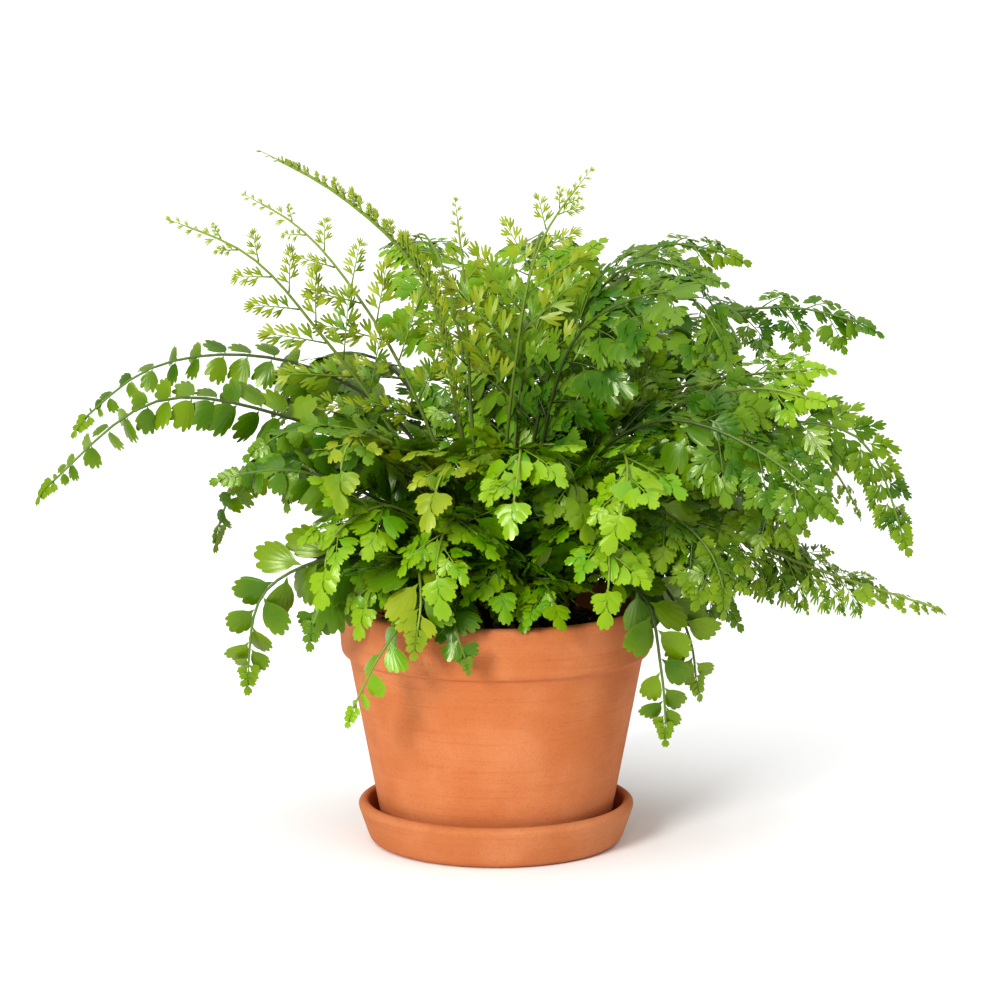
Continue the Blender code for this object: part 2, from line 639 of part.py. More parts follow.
def add_stem_cutter(stems, holes, collection):
    """One square post for each stem's hole, all in one cutter."""
    body = bmesh.new()
    side_length = STEM_BASE + 2.0 * HOLE_CLEARANCE
    for stem, hole in zip(stems, holes):
        _, _, side, _ = stem.frame(0.0)
        centre = Matrix.Translation(hole - UP * HOLE_DEPTH / 2.0 + UP * SOIL_MOUND)
        turn = Matrix.Rotation(math.atan2(side.y, side.x), 4, "Z")
        size = Matrix.Diagonal((side_length, side_length, HOLE_DEPTH + 2.0 * SOIL_MOUND, 1.0))
        bmesh.ops.create_cube(body, size=1.0, matrix=centre @ turn @ size)
    mesh = bpy.data.meshes.new("stem_holes")
    body.to_mesh(mesh)
    body.free()
    cutter = add_object("stem_holes", mesh, None, collection)
    cutter.hide_render = True
    cutter.display_type = "WIRE"
    return cutter


def evaluated_trees(objects):
    """Trees of finished objects, for the leaflets to keep clear of."""
    bpy.context.view_layer.update()
    graph = bpy.context.evaluated_depsgraph_get()
    return [BVHTree.FromObject(obj, graph) for obj in objects]


def grow_fronds(clay, collection, cutters):
    """Grows every frond clear of the others and of the clay, and returns the cutter for their holes."""
    holes = spread_holes(FRONDS)
    paths = part_stems([stem_path(hole, frond) for hole, frond in zip(holes, FRONDS)])
    stems = [Stem(path, frond) for path, frond in zip(paths, FRONDS)]
    places = [leaflet_places(frond, stem) for frond, stem in zip(FRONDS, stems)]
    shares = [station_shares(frond, found) for frond, found in zip(FRONDS, places)]
    stem_trees = [stem_solid(stem, *edges) for stem, edges in zip(stems, shares)]
    thicket = Thicket(stem_trees, evaluated_trees(clay))
    kinds = (LIME, FRESH, TRAIL, GREEN, DEEP)
    materials = {kind: new_material(kind.name, kind.colour, kind.roughness) for kind in kinds}
    for f, (frond, stem) in enumerate(zip(FRONDS, stems)):
        draw = random.Random(1000 + f)
        leaflets = []
        for place in places[f]:
            points = place_leaflet(stem, frond.kind, place, draw, thicket, f)
            leaflets.append((place, points))
        tip_points = terminal_points(stem, frond.kind, max(frond.leaf * TIP_SHARE * MM, LEAST_LEAF))
        tip_tree = leaflet_solid(tip_points, ROOT_CLEAR_HALF)
        if thicket.is_clear(tip_points, tip_tree, f):
            thicket.add(tip_points, tip_tree)
        else:
            tip_points = None
        name = f"frond_{f + 1:02d}"
        build_frond(name, stem, shares[f], leaflets, tip_points, materials[frond.kind], collection)
    return add_stem_cutter(stems, holes, cutters)


def main():
    """Builds the potted fern."""
    clear_scene()
    parts = new_collection("potted_fern")
    cutters = new_collection("cutters")
    pot_clay = new_material("pot_clay", (0.68, 0.26, 0.11), 0.85)
    saucer_clay = new_material("saucer_clay", (0.66, 0.25, 0.10), 0.85)
    loam = new_material("soil", (0.035, 0.022, 0.015), 0.95)
    saucer = add_turned("saucer", saucer_profile(), False, saucer_clay, parts)
    pot = add_turned("pot", pot_profile(), True, pot_clay, parts)
    soil = add_turned("soil", soil_profile(), False, loam, parts)
    cutter = grow_fronds([saucer, pot, soil], parts, cutters)
    holes = soil.modifiers.new("stem_holes", "BOOLEAN")
    holes.operation = "DIFFERENCE"
    holes.object = cutter


main()
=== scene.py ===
import logging
import math
import random
from dataclasses import dataclass, replace
from enum import Enum
from functools import partial
from itertools import product

import bpy
import numpy as np
from mathutils import Matrix, Vector
from mathutils.bvhtree import BVHTree
from mathutils.geometry import interpolate_bezier
from mathutils.kdtree import KDTree


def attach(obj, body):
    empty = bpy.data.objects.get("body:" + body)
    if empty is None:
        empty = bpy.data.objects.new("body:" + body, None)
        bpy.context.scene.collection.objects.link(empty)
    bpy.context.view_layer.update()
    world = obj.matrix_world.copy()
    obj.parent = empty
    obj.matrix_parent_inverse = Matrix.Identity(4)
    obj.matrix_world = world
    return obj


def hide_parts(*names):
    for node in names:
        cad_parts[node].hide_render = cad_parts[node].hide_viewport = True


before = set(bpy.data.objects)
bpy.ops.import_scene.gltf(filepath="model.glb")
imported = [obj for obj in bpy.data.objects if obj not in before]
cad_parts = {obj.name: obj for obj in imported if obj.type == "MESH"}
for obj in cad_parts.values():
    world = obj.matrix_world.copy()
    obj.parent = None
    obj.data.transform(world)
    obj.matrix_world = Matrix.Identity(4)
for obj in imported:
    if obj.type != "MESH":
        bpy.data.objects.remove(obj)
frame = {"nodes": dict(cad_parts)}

log = logging.getLogger("potted_fern")

MM = 0.001
UP = Vector((0.0, 0.0, 1.0))
FRONT = Vector((0.0, -1.0, 0.0))
SOIL_TOP = 112.0 * MM
STEM_BASE = 2.3 * MM
STEM_TIP = 1.1 * MM
STEM_SAMPLES = 48
TIP_SHARE = 0.45
TIP_AT = 0.985
LEAST_LEAF = 6.0 * MM

Colour = tuple[float, float, float]


# ---------------------------------------------------------------- small tools


def deselect_all() -> None:
    """Leaves no object selected."""
    for obj in list(bpy.context.selected_objects):
        obj.select_set(False)


def finish_object(obj: bpy.types.Object, name: str, slot: str, node: str) -> None:
    """Names a piece, hangs it on the one body and lets it stand for its CAD node.

    Args:
        obj: the finished piece, at the origin, unturned and unscaled.
        name: the piece's name.
        slot: the name of the record's material slot for the piece; not used.
        node: the CAD node that the piece replaces.
    """
    obj.name = name
    obj.data.name = name
    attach(obj, "root")
    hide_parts(node)


def linear(red: int, green: int, blue: int) -> Colour:
    """A display colour as the linear colour that a shader works with."""
    def one(value: int) -> float:
        """One channel, from 0 to 255, as a share of full light."""
        share = value / 255.0
        return share / 12.92 if share <= 0.04045 else ((share + 0.055) / 1.055) ** 2.4
    return one(red), one(green), one(blue)


class Tree:
    """Lays nodes in a shader tree and links them."""

    def __init__(self, tree: bpy.types.NodeTree) -> None:
        """Starts on an existing tree."""
        self.tree = tree

    def node(self, kind: str, inputs: dict | None = None, **settings: object) -> bpy.types.Node:
        """Adds a node.

        Args:
            kind: the node's type without its ShaderNode prefix.
            inputs: a value or another node's socket for each input, by name or place.
            settings: the node's own settings.

        Returns:
            The new node.
        """
        node = self.tree.nodes.new("ShaderNode" + kind)
        for key, value in settings.items():
            setattr(node, key, value)
        self.feed(node, inputs or {})
        return node

    def feed(self, node: bpy.types.Node, inputs: dict) -> None:
        """Links a node's inputs to sockets, or sets them to values."""
        for key, value in inputs.items():
            if isinstance(value, bpy.types.NodeSocket):
                self.tree.links.new(value, node.inputs[key])
            else:
                node.inputs[key].default_value = value

    def maths(self, operation: str, first: object, second: object = 0.0,
              clamp: bool = False) -> bpy.types.NodeSocket:
        """One step of arithmetic on values or sockets."""
        node = self.node("Math", {0: first, 1: second}, operation=operation, use_clamp=clamp)
        return node.outputs[0]

    def mix(self, factor: object, first: object, second: object) -> bpy.types.NodeSocket:
        """Mixes two colours."""
        node = self.node("Mix", {0: factor, 6: first, 7: second}, data_type="RGBA")
        return node.outputs[2]

    def between(self, value: object, low: float, high: float) -> bpy.types.NodeSocket:
        """Rises smoothly from 0 to 1 as the value goes from low to high."""
        node = self.node("MapRange", {0: value, 1: low, 2: high}, interpolation_type="SMOOTHSTEP")
        return node.outputs[0]

    def noise(self, vector: object, scale: float, detail: float = 3.0,
              rough: float = 0.55) -> bpy.types.NodeSocket:
        """Soft noise between 0 and 1 on a vector."""
        node = self.node("TexNoise", {"Vector": vector, "Scale": scale, "Detail": detail, "Roughness": rough})
        return node.outputs[0]


def new_group(name: str, inputs: dict[str, object],
              outputs: dict[str, str]) -> tuple[Tree, dict, bpy.types.Node, bpy.types.NodeTree]:
    """Starts a shader node group with named inputs and outputs.

    Args:
        name: the group's name.
        inputs: a default for each input: a number, or a colour as a tuple.
        outputs: the socket type of each output.

    Returns:
        The tree to lay nodes in, the group's input sockets by name, its output node, and the group.
    """
    group = bpy.data.node_groups.new(name, "ShaderNodeTree")
    for key, value in inputs.items():
        kind = "NodeSocketColor" if isinstance(value, tuple) else "NodeSocketFloat"
        socket = group.interface.new_socket(key, in_out="INPUT", socket_type=kind)
        socket.default_value = (*value, 1.0) if isinstance(value, tuple) else value
    for key, kind in outputs.items():
        group.interface.new_socket(key, in_out="OUTPUT", socket_type=kind)
    into = group.nodes.new("NodeGroupInput")
    out = group.nodes.new("NodeGroupOutput")
    return Tree(group), {socket.name: socket for socket in into.outputs if socket.name}, out, group


# ---------------------------------------------------------------- finishes


class Effects:
    """The node groups that several finishes share, each built once."""

    def __init__(self) -> None:
        """Builds the leaf and the clay group."""
        self.blade = self.build_blade()
        self.clay = self.build_clay()

    @staticmethod
    def build_blade() -> bpy.types.NodeTree:
        """Colour of a leaf from stalk to margin, with veins, blotches and a pale rim."""
        inputs = {
            "Dark": (0.0, 0.0, 0.0), "Mid": (0.0, 0.0, 0.0), "Light": (0.0, 0.0, 0.0),
            "Reach": 0.26, "Age": 0.4, "Blotch": 0.5, "Roughness": 0.35,
        }
        outputs = {"Color": "NodeSocketColor", "Roughness": "NodeSocketFloat", "Height": "NodeSocketFloat"}
        tree, given, out, group = new_group("leaf_blade", inputs, outputs)
        place = tree.node("SeparateXYZ", {0: tree.node("UVMap", uv_map="blade").outputs[0]})
        phase = place.outputs[0]
        reach = place.outputs[1]
        solid = tree.node("TexCoord").outputs["Object"]
        age = tree.node("Attribute", attribute_name="age").outputs["Fac"]
        tint = tree.node("Attribute", attribute_name="tint").outputs["Fac"]
        blotch = tree.maths("SUBTRACT", tree.noise(solid, 55.0, 2.0), 0.5)
        fine = tree.noise(solid, 900.0, 2.0)
        young = tree.maths("MULTIPLY", age, given["Age"])
        reached = tree.maths("MULTIPLY", tree.maths("POWER", reach, 1.8), given["Reach"])
        young = tree.maths("ADD", young, reached)
        young = tree.maths("ADD", young, tree.maths("MULTIPLY", blotch, given["Blotch"]))
        young = tree.maths("ADD", young, tree.maths("MULTIPLY_ADD", tint, 0.66), False)
        young = tree.maths("SUBTRACT", young, 0.33, True)
        low = tree.maths("MULTIPLY", young, 2.0, True)
        high = tree.maths("MULTIPLY_ADD", young, 2.0, True)
        high.node.inputs[2].default_value = -1.0
        colour = tree.mix(low, given["Dark"], given["Mid"])
        colour = tree.mix(high, colour, given["Light"])
        swing = tree.maths("ABSOLUTE", tree.maths("COSINE", tree.maths("MULTIPLY", phase, math.pi)))
        vein = tree.maths("SUBTRACT", 1.0, tree.between(swing, 0.0, 0.30))
        fades = tree.maths("SUBTRACT", 1.0, tree.between(reach, 0.55, 0.98))
        vein = tree.maths("MULTIPLY", vein, fades)
        ribs = tree.maths("ABSOLUTE", tree.maths("SINE", tree.maths("MULTIPLY", phase, math.pi * 3.0)))
        colour = tree.mix(tree.maths("MULTIPLY", vein, 0.14), colour, given["Light"])
        rim = tree.maths("MULTIPLY", tree.between(reach, 0.92, 1.0), 0.40)
        colour = tree.mix(rim, colour, given["Light"])
        height = tree.maths("MULTIPLY", ribs, 0.35)
        height = tree.maths("SUBTRACT", height, tree.maths("MULTIPLY", vein, 0.8))
        height = tree.maths("ADD", height, tree.maths("MULTIPLY", fine, 0.25))
        gloss = tree.maths("ADD", given["Roughness"], tree.maths("MULTIPLY", blotch, 0.25))
        tree.feed(out, {"Color": colour, "Roughness": gloss, "Height": height})
        return group

    @staticmethod
    def build_clay() -> bpy.types.NodeTree:
        """Fired clay: turning streaks, mottling, pores and a pale bloom."""
        inputs = {"Base": (0.0, 0.0, 0.0), "Pale": (0.0, 0.0, 0.0), "Burnt": (0.0, 0.0, 0.0), "Streaks": 1.0}
        outputs = {"Color": "NodeSocketColor", "Roughness": "NodeSocketFloat", "Height": "NodeSocketFloat"}
        tree, given, out, group = new_group("fired_clay", inputs, outputs)
        solid = tree.node("TexCoord").outputs["Object"]
        turned = tree.node("Mapping", {"Vector": solid, "Scale": (22.0, 22.0, 760.0)}).outputs[0]
        wide = tree.node("Mapping", {"Vector": solid, "Scale": (14.0, 14.0, 150.0)}).outputs[0]
        streak = tree.noise(turned, 1.0, 3.0)
        band = tree.noise(wide, 1.0, 2.0)
        cloud = tree.noise(solid, 26.0, 4.0)
        grain = tree.noise(solid, 900.0, 4.0, 0.75)
        speck = tree.between(tree.noise(solid, 620.0, 2.0), 0.66, 0.74)
        colour = tree.mix(tree.between(cloud, 0.38, 0.70), given["Base"], given["Pale"])
        lines = tree.maths("MULTIPLY", tree.between(streak, 0.50, 0.78), given["Streaks"])
        colour = tree.mix(tree.maths("MULTIPLY", lines, 0.26), colour, given["Burnt"])
        grains = tree.maths("MULTIPLY", tree.between(grain, 0.50, 0.66), 0.30)
        colour = tree.mix(grains, colour, given["Burnt"])
        bands = tree.maths("MULTIPLY", tree.between(band, 0.52, 0.72), 0.25)
        colour = tree.mix(bands, colour, given["Pale"])
        colour = tree.mix(tree.maths("MULTIPLY", speck, 0.30), colour, given["Burnt"])
        height = tree.maths("ADD", tree.maths("MULTIPLY", streak, 0.5), tree.maths("MULTIPLY", grain, 0.9))
        height = tree.maths("SUBTRACT", height, tree.maths("MULTIPLY", speck, 0.6))
        rough = tree.maths("ADD", 0.72, tree.maths("MULTIPLY", grain, 0.2))
        tree.feed(out, {"Color": colour, "Roughness": rough, "Height": height})
        return group


def principled(name: str) -> tuple[bpy.types.Material, Tree, bpy.types.Node]:
    """A new material with its tree and its Principled shader."""
    material = bpy.data.materials.new(name)
    material.use_nodes = True
    return material, Tree(material.node_tree), material.node_tree.nodes["Principled BSDF"]


@dataclass(frozen=True)
class LeafFinish:
    """The waxy green of one age of frond."""

    name: str
    dark: Colour
    mid: Colour
    light: Colour
    roughness: float
    gloss: float

    def build(self, effects: Effects) -> bpy.types.Material:
        """Makes the material from the shared leaf group."""
        material, tree, shader = principled(self.name)
        given = {"Dark": (*self.dark, 1.0), "Mid": (*self.mid, 1.0), "Light": (*self.light, 1.0)}
        group = tree.node("Group", given | {"Roughness": self.roughness}, node_tree=effects.blade)
        bump = tree.node("Bump", {"Height": group.outputs["Height"], "Strength": 0.12, "Distance": 0.0005})
        tree.feed(shader, {
            "Base Color": group.outputs["Color"], "Roughness": group.outputs["Roughness"],
            "Normal": bump.outputs[0], "Specular IOR Level": self.gloss,
            "Specular Tint": (0.92, 1.0, 0.66, 1.0),
        })
        return material


@dataclass(frozen=True)
class StemFinish:
    """A stem's skin: dark and woody at the foot, green towards the tip."""

    name: str
    foot: Colour
    middle: Colour
    tip: Colour

    def build(self) -> bpy.types.Material:
        """Makes the material."""
        material, tree, shader = principled(self.name)
        age = tree.node("Attribute", attribute_name="age").outputs["Fac"]
        solid = tree.node("TexCoord").outputs["Object"]
        grain = tree.noise(solid, 420.0, 2.0)
        share = tree.maths("ADD", age, tree.maths("MULTIPLY", tree.maths("SUBTRACT", grain, 0.5), 0.35))
        colour = tree.mix(tree.between(share, 0.05, 0.55), (*self.foot, 1.0), (*self.middle, 1.0))
        colour = tree.mix(tree.between(share, 0.50, 1.0), colour, (*self.tip, 1.0))
        bump = tree.node("Bump", {"Height": grain, "Strength": 0.3, "Distance": 0.0004})
        tree.feed(shader, {"Base Color": colour, "Normal": bump.outputs[0], "Roughness": 0.42})
        return material


@dataclass(frozen=True)
class ClayFinish:
    """Bare fired clay."""

    name: str
    base: Colour
    pale: Colour
    burnt: Colour
    streaks: float

    def build(self, effects: Effects) -> bpy.types.Material:
        """Makes the material from the shared clay group."""
        material, tree, shader = principled(self.name)
        given = {"Base": (*self.base, 1.0), "Pale": (*self.pale, 1.0), "Burnt": (*self.burnt, 1.0)}
        group = tree.node("Group", given | {"Streaks": self.streaks}, node_tree=effects.clay)
        bump = tree.node("Bump", {"Height": group.outputs["Height"], "Strength": 0.35, "Distance": 0.0006})
        tree.feed(shader, {
            "Base Color": group.outputs["Color"], "Roughness": group.outputs["Roughness"],
            "Normal": bump.outputs[0], "Specular IOR Level": 0.25,
        })
        return material


@dataclass(frozen=True)
class SoilFinish:
    """Damp dark compost, with pale crumbs by their own attribute."""

    name: str
    dark: Colour
    brown: Colour
    fleck: Colour

    def build(self) -> bpy.types.Material:
        """Makes the material."""
        material, tree, shader = principled(self.name)
        solid = tree.node("TexCoord").outputs["Object"]
        tint = tree.node("Attribute", attribute_name="tint").outputs["Fac"]
        crumb = tree.noise(solid, 380.0, 4.0, 0.65)
        colour = tree.mix(tree.between(crumb, 0.40, 0.70), (*self.dark, 1.0), (*self.brown, 1.0))
        colour = tree.mix(tree.between(tint, 0.90, 0.94), colour, (*self.fleck, 1.0))
        bump = tree.node("Bump", {"Height": crumb, "Strength": 0.8, "Distance": 0.0012})
        tree.feed(shader, {"Base Color": colour, "Normal": bump.outputs[0], "Roughness": 0.9})
        return material


LEAF_LIME = LeafFinish(
    "leaf_lime", (0.040, 0.115, 0.002), (0.095, 0.200, 0.003), (0.246, 0.298, 0.010), 0.34, 0.40,
)
LEAF_FRESH = LeafFinish(
    "leaf_fresh", (0.034, 0.142, 0.001), (0.106, 0.276, 0.001), (0.205, 0.345, 0.005), 0.27, 0.50,
)
LEAF_TRAILING = LeafFinish(
    "leaf_trailing", (0.016, 0.064, 0.001), (0.062, 0.148, 0.003), (0.190, 0.290, 0.016), 0.32, 0.38,
)
LEAF_GREEN = LeafFinish(
    "leaf_green", (0.013, 0.056, 0.001), (0.050, 0.128, 0.001), (0.145, 0.236, 0.004), 0.27, 0.42,
)
LEAF_DEEP = LeafFinish(
    "leaf_deep", (0.011, 0.052, 0.001), (0.034, 0.120, 0.001), (0.105, 0.200, 0.004), 0.26, 0.50,
)
STEM_DARK = StemFinish("stem_dark", (0.012, 0.007, 0.003), (0.036, 0.052, 0.007), (0.100, 0.190, 0.012))
STEM_GREEN = StemFinish("stem_green", (0.030, 0.040, 0.006), (0.110, 0.165, 0.014), (0.200, 0.290, 0.026))
POT_CLAY = ClayFinish("pot_clay", (0.500, 0.164, 0.055), (0.565, 0.212, 0.086), (0.345, 0.094, 0.030), 1.0)
SAUCER_CLAY = ClayFinish(
    "saucer_clay", (0.480, 0.168, 0.060), (0.550, 0.220, 0.094), (0.335, 0.097, 0.032), 0.8,
)
SOIL = SoilFinish("soil", linear(38, 28, 20), linear(92, 68, 48), linear(206, 196, 178))


# ---------------------------------------------------------------- leaf patterns


@dataclass(frozen=True)
class Pattern:
    """A leaflet of unit length, modelled once: root at the origin, tip along X, upper side to Z."""

    points: np.ndarray
    corners: np.ndarray
    sizes: np.ndarray
    blade: np.ndarray


@dataclass(frozen=True)
class Fan:
    """A leaflet that opens from its stalk like a fan, with rounded teeth round its outer edge.

    spread is the half angle in degrees, shoulder how much shorter its sides are than its middle,
    notch the depth of the cuts between teeth, lobes and cut the number and depth of larger lobes,
    lean how much wider its upper half is, pleat how far it is folded between its veins, and cup
    how far its sides bend down.
    """

    teeth: int
    spread: float
    shoulder: float
    notch: float
    lobes: int = 1
    cut: float = 0.0
    lean: float = 0.12
    pleat: float = 0.004
    cup: float = 0.28
    columns: int = 4
    rows: int = 4

    def grid(self) -> tuple[int, int]:
        """How many faces the flat grid has each way."""
        return self.teeth * self.columns, self.rows

    def shape(self, across: np.ndarray, out: np.ndarray, draw: np.random.Generator) -> np.ndarray:
        """Bends the flat grid into the fan.

        Args:
            across: each vertex's place from one side to the other, from 0 to 1.
            out: each vertex's place from the stalk to the margin, from 0 to 1.
            draw: the random source of this variant.

        Returns:
            The vertices' new places.
        """
        turn = 1.0 - 2.0 * across
        teeth = np.abs(np.sin(math.pi * across * self.teeth)) ** 0.6
        reach = 1.0 - self.shoulder * np.abs(turn) ** 2.4
        marks = np.linspace(0.0, 1.0, self.teeth + 1)
        uneven = 1.0 + 0.06 * np.interp(across, marks, draw.uniform(-1.0, 1.0, self.teeth + 1))
        lobed = np.abs(np.sin(math.pi * across * self.lobes)) ** 0.45 if self.lobes > 1 else 1.0
        outer = np.clip(out * 1.5 - 0.5, 0.0, 1.0)
        toothed = 1.0 - self.notch * (1.0 - teeth) * outer
        edge = reach * uneven * toothed * (1.0 - self.cut * (1.0 - lobed) * outer)
        opened = np.clip(out / 0.55, 0.0, 1.0)
        opened = 0.22 + 0.78 * opened * opened * (3.0 - 2.0 * opened)
        angle = np.radians(self.spread) * turn * opened * (1.0 + self.lean * np.sign(turn))
        length = out**0.85 * edge
        x = length * np.cos(angle)
        y = length * np.sin(angle)
        ripple = self.pleat * np.cos(2.0 * math.pi * across * self.teeth) * out**1.5
        z = ripple - self.cup * y * y * 2.0 - 0.06 * x * x
        return np.stack((x, y, z), axis=1)

    def veins(self, across: np.ndarray, out: np.ndarray) -> np.ndarray:
        """Vein phase, a whole number between teeth, and reach from stalk to margin."""
        return np.stack((across * self.teeth, out), axis=1)


def model_pattern(shape: Fan, seed: int) -> Pattern:
    """Models one leaflet from a flat grid, and keeps its mesh as a pattern.

    Args:
        shape: the form that the grid is bent into.
        seed: the variant's number.

    Returns:
        The finished pattern.
    """
    deselect_all()
    columns, rows = shape.grid()
    bpy.ops.mesh.primitive_grid_add(x_subdivisions=columns, y_subdivisions=rows, size=2.0)
    obj = bpy.context.object
    mesh = obj.data
    flat = np.zeros(len(mesh.vertices) * 3)
    mesh.vertices.foreach_get("co", flat)
    flat = flat.reshape(-1, 3)
    first = (flat[:, 0] + 1.0) / 2.0
    second = (flat[:, 1] + 1.0) / 2.0
    bent = shape.shape(first, second, np.random.default_rng(seed))
    mesh.vertices.foreach_set("co", bent.ravel())
    corner = np.zeros(len(mesh.loops), dtype=np.int64)
    mesh.loops.foreach_get("vertex_index", corner)
    layer = mesh.uv_layers[0]
    layer.uv.foreach_set("vector", shape.veins(first, second)[corner].astype(np.float32).ravel())
    bpy.ops.object.mode_set(mode="EDIT")
    bpy.ops.mesh.select_all(action="SELECT")
    bpy.ops.mesh.remove_doubles(threshold=0.0005)
    bpy.ops.object.mode_set(mode="OBJECT")
    mesh = obj.data
    points = np.zeros(len(mesh.vertices) * 3)
    mesh.vertices.foreach_get("co", points)
    corners = np.zeros(len(mesh.loops), dtype=np.int64)
    mesh.loops.foreach_get("vertex_index", corners)
    sizes = np.zeros(len(mesh.polygons), dtype=np.int64)
    mesh.polygons.foreach_get("loop_total", sizes)
    blade = np.zeros(len(mesh.loops) * 2, dtype=np.float32)
    mesh.uv_layers[0].uv.foreach_get("vector", blade)
    bpy.data.objects.remove(obj)
    bpy.data.meshes.remove(mesh)
    return Pattern(points.reshape(-1, 3), corners, sizes, blade.reshape(-1, 2))


@dataclass(frozen=True)
class Lobed:
    """A leaflet of rounded lobes that have grown together along its midrib.

    size and end are the lengths of the first pair and of the end lobe as shares of the leaflet,
    first is where that pair stands, open_by how far it stands out from the midrib in degrees, and
    web how wide the strip along the midrib is, as half an angle in degrees.
    """

    lobe: Fan
    pairs: int
    first: float
    size: float
    end: float
    open_by: float
    web: float

    def compose(self, seed: int) -> Pattern:
        """Copies one lobe along the midrib.

        Args:
            seed: the variant's number.

        Returns:
            The finished pattern.
        """
        draw = random.Random(seed)
        lobe = model_pattern(self.lobe, seed)
        strip = model_pattern(Fan(2, self.web, 0.1, 0.0, cup=0.02, rows=3), seed)
        strip = replace(strip, blade=strip.blade * np.array((1.0, 0.6), dtype=np.float32))
        parts = [(strip, 0.0, 0.0, 1.08 - self.end, 0.030)]
        for i in range(self.pairs):
            share = i / self.pairs
            for side in (1, -1):
                at = self.first + (1.0 - self.end - self.first) * share + 0.03 * (1 - side) / 2.0
                turn = side * self.open_by * (1.0 - 0.3 * share) + draw.uniform(-5.0, 5.0)
                size = self.size * (1.0 - 0.25 * share) * draw.uniform(0.92, 1.08)
                parts.append((lobe, at, turn, size, 0.022 - 0.006 * i))
        parts.append((lobe, 1.0 - self.end, draw.uniform(-5.0, 5.0), self.end, 0.0))
        points = []
        corners = []
        count = 0
        for part, at, turn, size, sink in parts:
            cos, sin = math.cos(math.radians(turn)), math.sin(math.radians(turn))
            x, y, z = (part.points * size).T
            points.append(np.stack((at + x * cos - y * sin, x * sin + y * cos, z - sink), axis=1))
            corners.append(part.corners + count)
            count += len(part.points)
        sizes = np.concatenate([part.sizes for part, *_ in parts])
        blade = np.concatenate([part.blade for part, *_ in parts])
        return Pattern(np.concatenate(points), np.concatenate(corners), sizes, blade)


class Patterns:
    """Every leaflet pattern, a few variants of each."""

    VARIANTS = 4

    def __init__(self) -> None:
        """Models them all."""
        crenate = Fan(4, 36.0, 0.40, 0.12, columns=3, rows=3)
        shapes = {
            "obovate": Fan(6, 30.0, 0.46, 0.09),
            "round": Fan(6, 37.0, 0.46, 0.07),
            "mitten": Fan(6, 40.0, 0.42, 0.09, 2, 0.26, lean=0.30),
            "fan": Fan(6, 42.0, 0.40, 0.09, 3, 0.18),
            "finger": Fan(3, 24.0, 0.20, 0.42, rows=3),
            "ovate": Fan(6, 44.0, 0.68, 0.15, lean=0.24),
            "oak": Lobed(crenate, 2, 0.14, 0.46, 0.52, 50.0, 15.0),
            "tip": Lobed(crenate, 3, 0.08, 0.38, 0.36, 52.0, 8.0),
            "cut": Lobed(Fan(3, 28.0, 0.26, 0.24, rows=3), 2, 0.16, 0.52, 0.48, 46.0, 9.0),
        }
        self.known = {}
        for number, (name, shape) in enumerate(shapes.items()):
            build = shape.compose if isinstance(shape, Lobed) else partial(model_pattern, shape)
            self.known[name] = [build(40 * number + k) for k in range(self.VARIANTS)]

    def pick(self, name: str, draw: random.Random) -> Pattern:
        """One variant of a pattern."""
        return draw.choice(self.known[name])


# ---------------------------------------------------------------- fronds


class Habit(Enum):
    """How the blades of a frond are divided."""

    SPRAY = "one toothed leaflet at each place"
    ARM = "small toothed leaflets, square to a long arched stem"
    OAK = "one deeply lobed leaflet at each place"
    BROAD = "side blades of a few wide, overlapping fans"
    PINNATE = "side blades of several smaller fans"
    YOUNG = "thin side stems cut into small fingered lobes"
    CREST = "the same, but short and standing up along the stem"
    TRAIL = "small lobed leaflets along a thin stem"


@dataclass(frozen=True)
class Kind:
    """How the leaflets of one age of frond are shaped and held, with angles in degrees."""

    finish: LeafFinish
    stem: StemFinish
    width: float
    swing_low: float
    swing_high: float
    tilt: float
    droop: float
    cup: float
    taper: float


LIME = Kind(LEAF_LIME, STEM_GREEN, 0.46, 58.0, 36.0, 8.0, 0.04, 0.05, 0.80)
FRESH = Kind(LEAF_FRESH, STEM_GREEN, 0.74, 64.0, 42.0, -14.0, 0.16, 0.08, 0.62)
TRAIL = Kind(LEAF_TRAILING, STEM_GREEN, 0.62, 62.0, 34.0, -14.0, 0.16, 0.08, 0.84)
GREEN = Kind(LEAF_GREEN, STEM_DARK, 0.76, 66.0, 44.0, -18.0, 0.20, 0.10, 0.50)
DEEP = Kind(LEAF_DEEP, STEM_DARK, 0.78, 68.0, 46.0, -20.0, 0.22, 0.12, 0.50)

# Held as the deep fronds are, but in the lighter fresh green: painted light that lifts fronds sitting in the
# plant's shade
DEEP_PAINTED_LIGHTER = replace(DEEP, finish=LEAF_FRESH)


@dataclass(frozen=True)
class Frond:
    """One frond: its leaflet pairs, longest leaflet, bare share of stem and route in millimetres.

    face is how far the blade turns its upper side from its own arch towards the front, from 0 to 1.
    """

    kind: Kind
    habit: Habit
    pairs: int
    leaf: float
    bare: float
    face: float
    route: tuple


SPRAY = Habit.SPRAY
ARM = Habit.ARM
OAK = Habit.OAK
BROAD = Habit.BROAD
PINNATE = Habit.PINNATE
YOUNG = Habit.YOUNG
CREST = Habit.CREST
LOOSE = Habit.TRAIL

